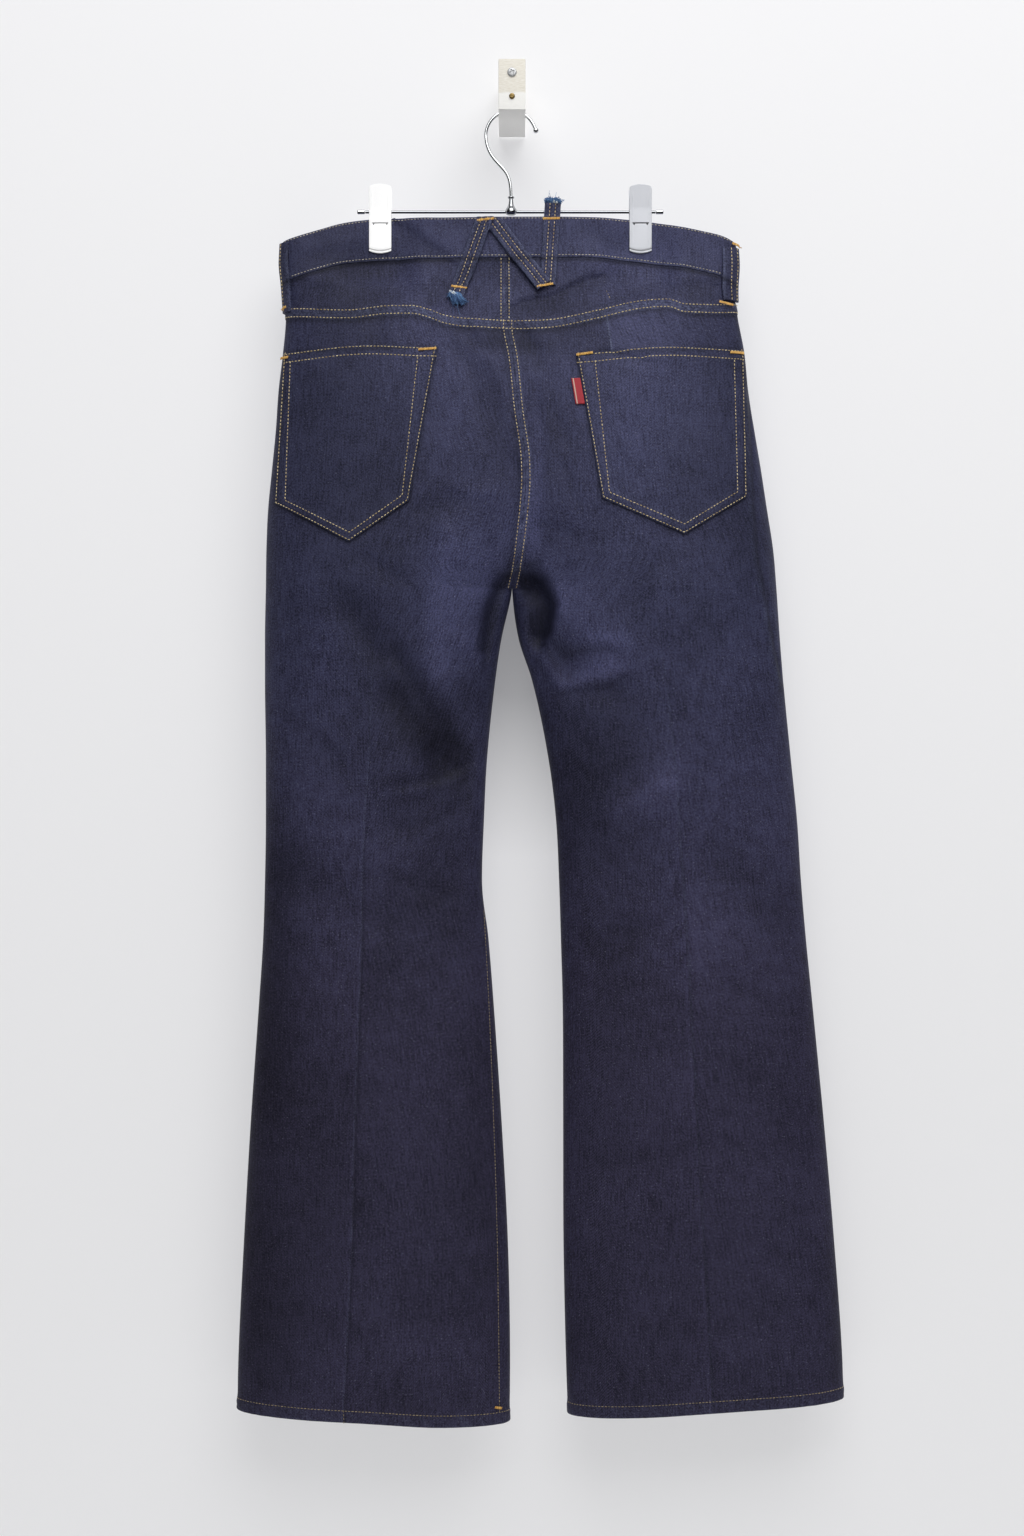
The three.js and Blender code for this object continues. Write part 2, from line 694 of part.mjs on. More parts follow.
function sideLoop(side) {
  const loop = sideLoops[side];
  const rows = 8;
  const across = [...loop.back, ...loop.front];
  const pointAt = (row, column, lift) => {
    const face = column < loop.back.length ? "back" : "front";
    const z = mix(loop.top, loop.bottom, row / (rows - 1));
    return overShare(side, face, across[column], z, lift, 0);
  };
  const raise = (row) => {
    const share = row / (rows - 1);
    const bow = sideLoopLift.bulge * Math.sin(Math.PI * share);
    return mix(sideLoopLift.top, sideLoopLift.bottom, share) + bow + loopWall;
  };
  add(jeans, `loop_side_${side}`, wall(rows, across.length, pointAt, raise, loopWall), "denim");
}

// Frayed raw ends of the strip: threads stand out of a narrow root strip. Their lengths and sway vary by a
// wave along the strip.
const frayRoot = 2;
const frayThick = 1.4;
const frays = {
  frayed_end_low: { root: [-50.15, -185.4], out: -1, turn: -19, lift: 0.8, width: 14, length: 7 },
  frayed_end_high: { root: [36.72, -99.1], out: 1, turn: -3.8, lift: 1.6, width: 15, length: 5 },
};

function frayedEnd(name, fray) {
  const threads = 11;
  const pitch = fray.width / threads;
  const turn = THREE.MathUtils.degToRad(fray.turn);
  const shape = new THREE.Shape();
  shape.moveTo(-fray.width / 2, 0);
  for (let thread = 0; thread < threads; thread++) {
    const x = -fray.width / 2 + thread * pitch;
    const length = fray.length * (0.8 + 0.2 * Math.sin(thread * 2.3));
    const sway = 0.35 * Math.sin(thread * 1.7);
    shape.lineTo(x, frayRoot);
    shape.lineTo(x + pitch * 0.15 + sway, length);
    shape.lineTo(x + pitch * 0.55 + sway, length);
    shape.lineTo(x + pitch * 0.72, frayRoot);
  }
  shape.lineTo(fray.width / 2, frayRoot);
  shape.lineTo(fray.width / 2, 0);
  const geometry = new THREE.ExtrudeGeometry(shape, { depth: frayThick, bevelEnabled: false });
  const position = geometry.attributes.position;
  for (let i = 0; i < position.count; i++) {
    const [aside, up, lift] = [position.getX(i), position.getY(i), position.getZ(i)];
    const x = fray.root[0] + aside * Math.cos(turn) - up * fray.out * Math.sin(turn);
    const z = fray.root[1] + aside * Math.sin(turn) + up * fray.out * Math.cos(turn);
    position.setXYZ(i, ...overBody("back", x, z, fray.lift + lift).toArray());
  }
  add(jeans, name, closed(geometry), "fray");
}

// Waist button, on the upper end of the band
const button = { x: -5, radius: 8.5, thick: 2.4, rim: 3, dish: 0.5, shank: 0.9 };

// A turned body from a profile of radii and heights.
function turned(profile, sides) {
  return closed(new THREE.LatheGeometry(profile.map(([r, h]) => new THREE.Vector2(r, h)), sides));
}

function waistButton() {
  const { radius, thick, rim, dish } = button;
  const profile = [
    [0, 0],
    [radius - 2, 0],
    [radius, 0.7],
    [radius, 1.5],
    [radius - 1, thick],
    [radius - rim, thick - dish],
    [0, thick - dish],
  ];
  const mesh = add(jeans, "waist_button", turned(profile, 20), "steel");
  const z = waistTop.front(button.x) - bandHeight / 2;
  mesh.position.set(button.x, overBody("front", button.x, z, bandRaise + button.shank).y, z);
}

// Hanger

const wireRadius = 1.6;
const hook = { x: -1, z: -37, radius: 23, tipAngle: 12, turnAngle: 200, tipBall: 2.6, stations: 16 };
// The hook's neck, from the turn to the swivel. Columns: X, height.
const neckColumns = ["x", "z"];
const neck = [
  [-21.4, -53],
  [-14.6, -60.5],
  [-6.6, -67],
  [-2.4, -72.5],
  [-0.9, -80],
  [-0.9, -91.2],
];
const swivel = { x: -0.9, top: -91.5, waist: -99, bottom: -108.2, topRadius: 2, radius: 5.4, round: 1.4 };
const bar = { from: -132, to: 129, radius: 1.5, hole: 1.8, endLength: 7, endRadius: 2.1 };

function circle(radius, sides) {
  const shape = new THREE.Shape();
  for (let side = 0; side < sides; side++) {
    const angle = (side / sides) * 2 * Math.PI;
    shape[side ? "lineTo" : "moveTo"](radius * Math.cos(angle), radius * Math.sin(angle));
  }
  shape.closePath();
  return shape;
}

function rod(from, to, radius, sides = 12) {
  const path = new THREE.LineCurve3(new THREE.Vector3(...from), new THREE.Vector3(...to));
  return new THREE.ExtrudeGeometry(circle(radius, sides), { steps: 1, extrudePath: path });
}

function hangerHook() {
  const points = [];
  for (let i = 0; i <= hook.stations; i++) {
    const angle = THREE.MathUtils.degToRad(mix(hook.tipAngle, hook.turnAngle, i / hook.stations));
    const x = hook.x + hook.radius * Math.cos(angle);
    points.push(new THREE.Vector3(x, hangPlane, hook.z + hook.radius * Math.sin(angle)));
  }
  for (const { x, z } of named(neckColumns, neck)) points.push(new THREE.Vector3(x, hangPlane, z));
  const path = new THREE.CatmullRomCurve3(points, false, "centripetal");
  const wire = new THREE.ExtrudeGeometry(circle(wireRadius, 8), { steps: 40, extrudePath: path });
  const ball = new THREE.SphereGeometry(hook.tipBall, 12, 8).translate(...points[0].toArray());
  add(hanger, "hanger_hook", fromSolid(toSolid(wire).add(toSolid(ball))), "steel");
}

function hangerSwivel() {
  const { top, waist, bottom, topRadius, radius, round } = swivel;
  const profile = [
    [0, bottom],
    [radius - round, bottom],
    [radius, bottom + round],
    [radius, bottom + 3.6],
    [topRadius + 0.6, waist],
    [topRadius, waist + 1],
    [topRadius, top],
    [0, top],
  ];
  const body = turned(profile, 16).rotateX(Math.PI / 2).translate(swivel.x, hangPlane, 0);
  const reach = 2 * radius;
  const hole = rod([-reach, hangPlane, barHeight], [reach, hangPlane, barHeight], bar.hole);
  add(hanger, "hanger_swivel", fromSolid(toSolid(body).subtract(toSolid(hole))), "steel");
}

function hangerBar() {
  const { from, to, radius, endLength, endRadius } = bar;
  const wire = rod([from, hangPlane, barHeight], [to, hangPlane, barHeight], radius);
  add(hanger, "hanger_bar", closed(wire), "steel");
  const profile = [
    [0, 0],
    [endRadius, 0],
    [endRadius, endLength - 1],
    [endRadius - 1, endLength],
    [0, endLength],
  ];
  for (const side of ["left", "right"]) {
    const mesh = add(hanger, `bar_end_${side}`, turned(profile, 12), "steel");
    mesh.rotation.z = (-sideSign[side] * Math.PI) / 2;
    mesh.position.set((side === "left" ? from : to) + sideSign[side] * gap, hangPlane, barHeight);
  }
}

// Clips: two bent plates and the barrel of their spring, which turns on the bar
const clip = {
  width: 20,
  top: -82,
  bend: -103,
  bottom: -141.5,
  belly: 2.2,
  sheet: 1,
  flare: 3,
  corner: 3,
  lip: 1.6, // the jaw on the jeans' front is longer by this
  play: 0.35, // between a jaw and the band's face
};
const tongue = { half: 6.6, height: -114, slit: 1.2, notch: 2.6, notchWidth: 1.4 };
const springLength = 12;
const jawFace = gripDepth + bandRaise + clip.play;

function clipJaw(side, face) {
  const half = clip.width / 2;
  const low = clip.bottom - (face === "front" ? clip.lip : 0);
  const shape = new THREE.Shape();
  shape.moveTo(-half, low);
  shape.quadraticCurveTo(0, low - 2 * clip.belly, half, low);
  shape.lineTo(half, clip.bend);
  shape.lineTo(half, clip.top - clip.corner);
  shape.quadraticCurveTo(half, clip.top, half - clip.corner, clip.top);
  shape.lineTo(-half + clip.corner, clip.top);
  shape.quadraticCurveTo(-half, clip.top, -half, clip.top - clip.corner);
  shape.lineTo(-half, clip.bend);
  shape.closePath();
  const { half: wide, height, slit, notch, notchWidth } = tongue;
  const cut = new THREE.Path();
  cut.moveTo(-wide, height);
  cut.lineTo(-wide + notchWidth / 2, height - notch);
  cut.lineTo(-wide + notchWidth, height - slit);
  cut.lineTo(wide - notchWidth, height - slit);
  cut.lineTo(wide - notchWidth / 2, height - notch);
  cut.lineTo(wide, height);
  cut.closePath();
  shape.holes.push(cut);
  const settings = { depth: clip.sheet, bevelEnabled: false, curveSegments: 5 };
  const plate = new THREE.ExtrudeGeometry(shape, settings);
  const position = plate.attributes.position;
  for (let i = 0; i < position.count; i++) {
    const up = position.getY(i);
    const flare = (clip.flare * Math.max(0, up - clip.bend)) / (clip.top - clip.bend);
    position.setXYZ(i, position.getX(i), faceSign[face] * (jawFace + position.getZ(i) + flare), up);
  }
  const mesh = add(hanger, `clip_${side}_${face}_jaw`, closed(plate), "steel");
  mesh.position.set(clipMiddles[side], hangPlane, 0);
}

function clipSpring(side) {
  const shape = circle(gripDepth + bandRaise, 16);
  shape.holes.push(new THREE.Path(circle(bar.hole, 12).getPoints()));
  const barrel = new THREE.ExtrudeGeometry(shape, { depth: springLength, bevelEnabled: false });
  barrel.translate(0, 0, -springLength / 2);
  const mesh = add(hanger, `clip_${side}_spring`, closed(barrel), "steel");
  mesh.rotation.y = Math.PI / 2;
  mesh.position.set(clipMiddles[side], hangPlane, barHeight);
}

// Wall block: a slot across it from above takes the hook
const block = { width: 24, depth: 86, height: 45.2 };
const slot = { width: 5.2, floor: -20.1 };
const screws = {
  upper: { z: 10.6, radius: 4.2, finish: "steel" },
  lower: { z: -10.6, radius: 2.6, finish: "brass" },
};
const screwHead = { thick: 1.2, rim: 0.5, chamfer: 0.8, recess: 0.35, recessFloor: 0.25 };

function wallBlock() {
  const wood = new THREE.BoxGeometry(block.width, block.depth, block.height);
  wood.translate(0, -block.depth / 2, 0);
  const cut = new THREE.BoxGeometry(block.width * 2, slot.width, block.height);
  cut.translate(0, hangPlane, slot.floor + block.height / 2);
  add(wallHook, "wall_block", fromSolid(toSolid(wood).subtract(toSolid(cut))), "paint");
}

function blockScrew(name, { z, radius, finish }) {
  const { thick, rim, chamfer, recess, recessFloor } = screwHead;
  const profile = [
    [0, 0],
    [radius, 0],
    [radius, rim],
    [radius - chamfer, thick],
    [radius * recess, thick],
    [radius * recessFloor, rim],
    [0, rim],
  ];
  const mesh = add(wallHook, `block_screw_${name}`, turned(profile, 16), finish);
  mesh.rotation.x = Math.PI;
  mesh.position.set(0, -block.depth - gap, z);
}

for (const side of ["left", "right"]) {
  backPanels(side);
  frontPanel(side);
  pocketFacing(side);
  yoke(side);
  backPocket(side);
  sideLoop(side);
  clipJaw(side, "back");
  clipJaw(side, "front");
  clipSpring(side);
}
waistband();
flyFlap();
pocketTab();
waistButton();
for (const run of named(runColumns, loopRuns)) loopRun(run);
for (const [name, fray] of Object.entries(frays)) frayedEnd(name, fray);
hangerHook();
hangerSwivel();
hangerBar();
wallBlock();
for (const [name, screw] of Object.entries(screws)) blockScrew(name, screw);

const group = new THREE.Group();
group.add(jeans, hanger, wallHook);
export default group;
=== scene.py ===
import math

import bmesh
import bpy
import numpy as np
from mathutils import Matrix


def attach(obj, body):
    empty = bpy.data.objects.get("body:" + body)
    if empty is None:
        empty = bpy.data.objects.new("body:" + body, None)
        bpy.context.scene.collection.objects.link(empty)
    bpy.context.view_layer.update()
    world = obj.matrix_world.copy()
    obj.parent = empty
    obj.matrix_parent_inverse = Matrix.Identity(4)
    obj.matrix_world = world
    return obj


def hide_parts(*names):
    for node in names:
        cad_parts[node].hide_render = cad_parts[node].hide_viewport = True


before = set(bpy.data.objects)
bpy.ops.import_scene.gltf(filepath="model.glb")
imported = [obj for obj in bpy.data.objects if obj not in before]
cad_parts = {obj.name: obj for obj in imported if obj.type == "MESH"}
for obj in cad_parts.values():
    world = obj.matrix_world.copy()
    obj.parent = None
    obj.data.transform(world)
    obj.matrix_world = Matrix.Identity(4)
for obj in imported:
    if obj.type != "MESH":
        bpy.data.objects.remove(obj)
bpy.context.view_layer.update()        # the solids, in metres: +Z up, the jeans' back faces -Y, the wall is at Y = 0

scene = bpy.context.scene
print("solids loaded:", len(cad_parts), "nodes")

# Camera and light. Sizes here are in metres, those of the cloth further down in millimetres.
view = {
    "eye": (0.0, -2.055, -0.606),
    "lens": 52.08,  # mm on a 36 mm sensor, for the image's long side
}
room = {
    "wallGap": 0.002,  # behind the block's face
    "wallSize": 3.2,
    "floorHeight": -1.46,
    "floorDepth": 3.0,
    # Painted light on the wall: its glow, low and high, and a patch of painted shade that dims it in the gap between
    # the legs
    "paintedGlow": (0.46, 0.5),  # of the wall, low and high
    "paintedShadeAt": (0.006, 0.0, -0.5),  # the wall's shade in the gap between the legs
    "paintedShadeReach": (0.04, 0.19),
    "shade": 0.45,
}


def aimed(thing, place, target):
    offset = np.subtract(target, place)
    flat = math.hypot(offset[0], offset[1])
    thing.location = place
    thing.rotation_euler = (math.atan2(flat, -offset[2]), 0, math.atan2(-offset[0], offset[1]))


def placed(name, data):
    thing = bpy.data.objects.new(name, data)
    scene.collection.objects.link(thing)
    return thing


def addCamera():
    data = bpy.data.cameras.new("camera")
    data.lens = view["lens"]
    data.sensor_width = 36
    data.clip_end = 30
    camera = placed("camera", data)
    camera.location = view["eye"]
    camera.rotation_euler = (math.radians(90), 0, 0)
    scene.camera = camera


def addNode(tree, kind, inputs=None, **settings):
    made = tree.nodes.new(kind)
    for name, value in settings.items():
        setattr(made, name, value)
    for name, value in (inputs or {}).items():
        if isinstance(value, bpy.types.Node):
            value = value.outputs[0]
        if isinstance(value, bpy.types.NodeSocket):
            tree.links.new(value, made.inputs[name])
        else:
            made.inputs[name].default_value = value
    return made


def colour(code):
    parts = [int(code[i:i + 2], 16) / 255 for i in (1, 3, 5)]
    return [p / 12.92 if p <= 0.04045 else ((p + 0.055) / 1.055) ** 2.4 for p in parts] + [1.0]


def newMaterial(name, settings):
    material = bpy.data.materials.new(name)
    material.use_nodes = True
    tree = material.node_tree
    shader = tree.nodes["Principled BSDF"]
    for socket, value in settings.items():
        shader.inputs[socket].default_value = value
    return material, tree, shader


lights = {
    # name: place, target, size, watts
    "high softbox": ((0.34, -1.6, 1.4), (0, 0, -0.4), 2.3, 56),
    "front fill": ((-0.6, -3.3, 0.2), (0, 0, -0.7), 2.6, 7),
    "behind the wall": ((0.6, 2.4, 1.0), (0, 0, -0.6), 2.0, 46),
}


def addLights():
    for name, (place, target, size, watts) in lights.items():
        data = bpy.data.lights.new(name, "AREA")
        data.size = size
        data.energy = watts
        aimed(placed(name, data), place, target)
    world = bpy.data.worlds.new("pale room")
    world.use_nodes = True
    world.node_tree.nodes["Background"].inputs["Color"].default_value = colour("#e9e9ea")
    world.node_tree.nodes["Background"].inputs["Strength"].default_value = 0.16
    scene.world = world
    scene.view_settings.view_transform = "Standard"


def stagePlane(name, corners, material):
    mesh = bpy.data.meshes.new(name)
    mesh.from_pydata(corners, [], [(0, 1, 2, 3)])
    mesh.materials.append(material)
    plane = placed(name, mesh)
    return plane


def addRoom():
    # Painted plaster, matt. It glows a little brighter towards the top, painted light that stands in for a bright
    # studio and thins the shadows on it. Seen from behind it isn't there, so the front of the jeans shows too.
    plaster, tree, shader = newMaterial("painted plaster", {
        "Base Color": colour("#b4b4b5"), "Emission Color": colour("#fdfdff"), "Roughness": 0.9,
        "Specular IOR Level": 0.2})
    place = addNode(tree, "ShaderNodeTexCoord").outputs["Object"]
    height = addNode(tree, "ShaderNodeSeparateXYZ", {0: place}).outputs[2]
    # Painted light: the wall's glow grows a little towards the top
    paintedGlow = addNode(tree, "ShaderNodeMapRange", {
        "Value": height, "From Min": -1.3, "From Max": 0.0,
        "To Min": room["paintedGlow"][0], "To Max": room["paintedGlow"][1]})
    # Painted shade: the glow is dimmed round a place in the gap between the legs
    away = addNode(tree, "ShaderNodeVectorMath", {0: place, 1: room["paintedShadeAt"]}, operation="DISTANCE")
    shade = addNode(tree, "ShaderNodeMapRange", {
        "Value": away.outputs["Value"], "From Min": room["paintedShadeReach"][0], "From Max": room["paintedShadeReach"][1],
        "To Min": room["shade"], "To Max": 1.0})
    paintedGlow = addNode(tree, "ShaderNodeMath", {0: paintedGlow, 1: shade}, operation="MULTIPLY")
    tree.links.new(paintedGlow.outputs[0], shader.inputs["Emission Strength"])
    side = addNode(tree, "ShaderNodeNewGeometry")
    clear = addNode(tree, "ShaderNodeBsdfTransparent")
    mixed = addNode(tree, "ShaderNodeMixShader", {
        0: side.outputs["Backfacing"], 1: shader, 2: clear})
    tree.links.new(mixed.outputs[0], tree.nodes["Material Output"].inputs["Surface"])
    half, y, low = room["wallSize"] / 2, room["wallGap"], room["floorHeight"]
    wall = stagePlane("wall", [(-half, y, low), (half, y, low), (half, y, 1.4), (-half, y, 1.4)], plaster)
    wall.visible_shadow = False

    # The darker sides and floor of the room, only for the plated parts to reflect
    dusk = newMaterial("dark side of the room", {"Base Color": colour("#0c0c0d"), "Roughness": 1.0})[0]
    for corners in (
            [(-2, -4, low), (2, -4, low), (2, -4, -0.8), (-2, -4, -0.8)],
            [(-2, -4, low + 0.01), (2, -4, low + 0.01), (2, -0.5, low + 0.01), (-2, -0.5, low + 0.01)],
            [(-2, -4, low), (-2, -0.4, low), (-2, -0.4, 1.3), (-2, -4, 1.3)],
            [(2, -4, low), (2, -0.4, low), (2, -0.4, 1.3), (2, -4, 1.3)]):
        card = stagePlane("dark side", corners, dusk)
        card.visible_diffuse = False
        card.visible_shadow = False
        card.visible_camera = False

    lino = newMaterial("pale floor", {"Base Color": colour("#dcdcdc"), "Roughness": 0.8})[0]
    far, near = y, -room["floorDepth"]
    stagePlane("floor", [(-half, near, low), (half, near, low), (half, far, low), (-half, far, low)], lino)


addCamera()
addLights()
addRoom()
print("camera, light and room made")

# The form of the cloth: the same sizes as the solids', in millimetres. Columns of sections: height, X of
# the left side, left back seam and left inner edge, the same three of the right leg from its inner edge
# out, depth of the back and of the front from the hanging plane, and the radius of the side.
cloth = {
    "hangPlane": -55,
    "crotch": -446,
    "gap": 0.3,
    "wall": 1.6,
    "bandHeight": 37.5,
    "bandWall": 2.6,
    "bandRaise": 0.8,
    "seatRise": {"back": 95, "front": 75},
    "sideFade": 16,
    "clips": (-118.4, 115.5),
    "gripDepth": 2.6,
    "gripFlat": 12,
    "gripFade": 42,
    "gripFloor": -196,
    "gripRise": 44,
}
sectionNames = ("z", "outerLeft", "seamLeft", "innerLeft", "innerRight", "seamRight", "outerRight",
                "back", "front", "round")
sections = (
    (-112, -206, -86, 0, 0, 80, 201, 7, 9, 6),
    (-150, -206, -89, 0, 0, 82, 201, 10, 12, 6),
    (-172, -204, -91, 0, 0, 83, 200, 15, 15, 7),
    (-200, -203.5, -93, 0, 0, 84, 203, 24, 20, 8),
    (-232, -206, -96, 0, 0, 88, 209, 32, 25, 9),
    (-266, -210, -100, 0, 0, 95, 212.5, 38, 30, 11),
    (-302, -212.5, -105, 0, 0, 103, 218, 42, 33, 12),
    (-338, -216, -110, 0, 0, 110, 224, 45, 35, 13),
    (-374, -219.5, -114, 0, 0, 116, 229.5, 47, 36, 13),
    (-410, -221, -117, 0, 0, 121, 235, 47, 37, 13),
    (-446, -221.5, -119, -0.15, 0.15, 126, 238, 45, 38, 13),
    (-490, -222.3, -122, -9.5, 6, 130, 241, 42, 37, 12),
    (-527, -222.3, -123, -15, 18, 135, 244, 40, 36, 12),
    (-599, -221.5, -126, -22.5, 33, 143, 251, 37, 33, 12),
    (-653, -221.5, -130, -25.2, 39.6, 147, 256.5, 34, 31, 12),
    (-707, -222.3, -132, -27, 42.3, 151, 260, 32, 29, 11),
    (-761, -224, -133, -21.5, 44, 155, 264.6, 30, 28, 11),
    (-815, -227.5, -135, -17.2, 45.5, 158, 270, 29, 27, 11),
    (-923, -235, -139, -9.9, 46, 164, 280.5, 28, 26, 11),
    (-1031, -241.2, -142, -4.2, 46.3, 170, 289.8, 28, 26, 11),
    (-1139, -246.3, -147, -2.2, 48.6, 176, 297.3, 29, 27, 11),
    (-1192, -247.2, -150, -2.6, 50.5, 179, 298.4, 30, 28, 11),
)
# height, X of the seat seam, X of the front seam
centreSeams = (
    (-112, -4, 2), (-212, -4, 2), (-243, 1, 2), (-291, 6, 2), (-330, 11.5, 2), (-352, 12.3, 2),
    (-378, 10.5, 1.5), (-400, 8, 1), (-425, 4.5, 0.5), (-446, 0, 0),
)
# X, height of the back's upper edge, height of the front's
waistEdge = (
    (-207, -133.5, -133.5), (-189, -128, -128.5), (-171, -122.7, -123.5), (-153, -117.5, -118),
    (-135, -114, -115), (-99, -112.2, -115), (-60, -112, -119), (0, -111.3, -123), (60, -111.5, -119),
    (99, -113, -115.5), (135, -117.3, -118), (171, -124.5, -125), (189, -129, -129.5), (203, -135.5, -135.5),
)
yokeSeam = (
    (-204, -198), (-146, -202), (-110, -198.3), (-90, -198.3), (-74, -202), (-60, -207.5), (-28, -211.2),
    (0, -212.5), (36, -211.2), (51, -208.5), (77, -202.3), (112, -194), (139, -191.8), (154, -196.5),
    (186, -195.8), (203, -193.5),
)
hemEdge = {
    -1: ((-247, -1182), (-135, -1187.5), (-70, -1191.5), (-2, -1192.8)),
    1: ((50, -1186), (110, -1183.5), (190, -1178), (298, -1172)),
}
# The largest folds, as in the solids, by face: the line's two ends, half width, depth (plus for a ridge)
folds = {
    "back": (
        (-101, -545, -62, -597, 13, -7), (-62, -597, -43, -616, 12, -5), (-97, -651, -50, -632, 11, -3),
        (-46, -420, -52, -520, 20, 4), (-146, -462, -112, -512, 14, -3), (34, -516, 84, -532, 13, -5),
        (44, -470, 80, -500, 20, 4), (30, -455, 28, -482, 14, -5), (95, -645, 132, -622, 16, 3),
        (-190, -700, -120, -735, 18, -3), (190, -690, 235, -735, 18, -3),
    ),
    "front": (
        (-40, -470, -120, -430, 18, -5), (42, -474, 126, -436, 18, -5), (-60, -600, -120, -560, 17, -5),
        (66, -612, 140, -570, 17, -5), (-70, -690, -150, -672, 16, 4), (90, -700, 170, -678, 16, 4),
    ),
}


def curveThrough(table, column=1):
    rows = sorted(table)
    at = np.array([row[0] for row in rows], float)
    value = np.array([row[column] for row in rows], float)
    rise = np.diff(value) / np.diff(at)
    between = np.where(rise[:-1] * rise[1:] <= 0, 0, (rise[:-1] + rise[1:]) / 2)
    slope = np.concatenate([rise[:1], between, rise[-1:]])

    def read(x):
        x = np.clip(x, at[0], at[-1])
        i = np.clip(np.searchsorted(at, x, side="right") - 1, 0, len(at) - 2)
        span = at[i + 1] - at[i]
        t = (x - at[i]) / span
        start = (1 + 2 * t) * (1 - t) ** 2 * value[i] + t * (1 - t) ** 2 * span * slope[i]
        return start + t * t * (3 - 2 * t) * value[i + 1] + t * t * (t - 1) * span * slope[i + 1]

    return read


along = {name: curveThrough(sections, i) for i, name in enumerate(sectionNames) if i}
centre = {"back": curveThrough(centreSeams, 1), "front": curveThrough(centreSeams, 2)}
waistTop = {"back": curveThrough(waistEdge, 1), "front": curveThrough(waistEdge, 2)}
yokeLine = curveThrough(yokeSeam)
hemLine = {side: curveThrough(edge) for side, edge in hemEdge.items()}
sideName = {-1: "left", 1: "right"}


def mix(a, b, share):
    return a + (b - a) * share


def soft(share):
    t = np.clip(share, 0, 1)
    return t * t * (3 - 2 * t)


def bump(distance, width):
    return np.exp(-(distance / width) ** 2 / 2)


# How far a face sinks towards its rounded edge, as a share, for a radius in mm
def roundedOff(edge, radius):
    return 1 - np.sqrt(1 - np.clip(1 - edge / radius, 0, 1) ** 2)


def bySide(side, left, right, z):
    return np.where(np.asarray(side) < 0, along[left](z), along[right](z))


def edgesAt(face, side, z):
    outer = bySide(side, "outerLeft", "outerRight", z)
    seam = centre[face](z) + np.asarray(side) * cloth["gap"] / 2
    return np.where(z >= cloth["crotch"], seam, bySide(side, "innerLeft", "innerRight", z)), outer


def joined(face, z):
    t = np.clip((z - cloth["crotch"]) / cloth["seatRise"][face], 0, 1)
    return t * (2 - t)


def grip(x, z):
    near = np.minimum(np.abs(x - cloth["clips"][0]), np.abs(x - cloth["clips"][1]))
    across = soft((cloth["gripFade"] - near) / (cloth["gripFade"] - cloth["gripFlat"]))
    return across * soft((z - cloth["gripFloor"]) / cloth["gripRise"])


def squaredDepth(face, side, x, z):
    inner, outer = edgesAt(face, side, z)
    width = np.abs(outer - inner)
    depth = along[face](z)
    share = (x - inner) / (outer - inner)
    fullness = width * along["round"](z) / depth ** 2
    body = 1 - np.abs(share) ** np.clip(2 * fullness, 2, 40)
    leg = 1 - np.abs(2 * share - 1) ** np.clip(fullness, 2, 6)
    whole = joined(face, z)
    squared = depth ** 2 * (whole * body + (1 - whole) * leg)
    held = np.where(squared > 0, grip(x, z), 0)
    root = np.sqrt(np.maximum(squared, 0))
    return np.where(held > 0, mix(root, cloth["gripDepth"], held) ** 2, squared)
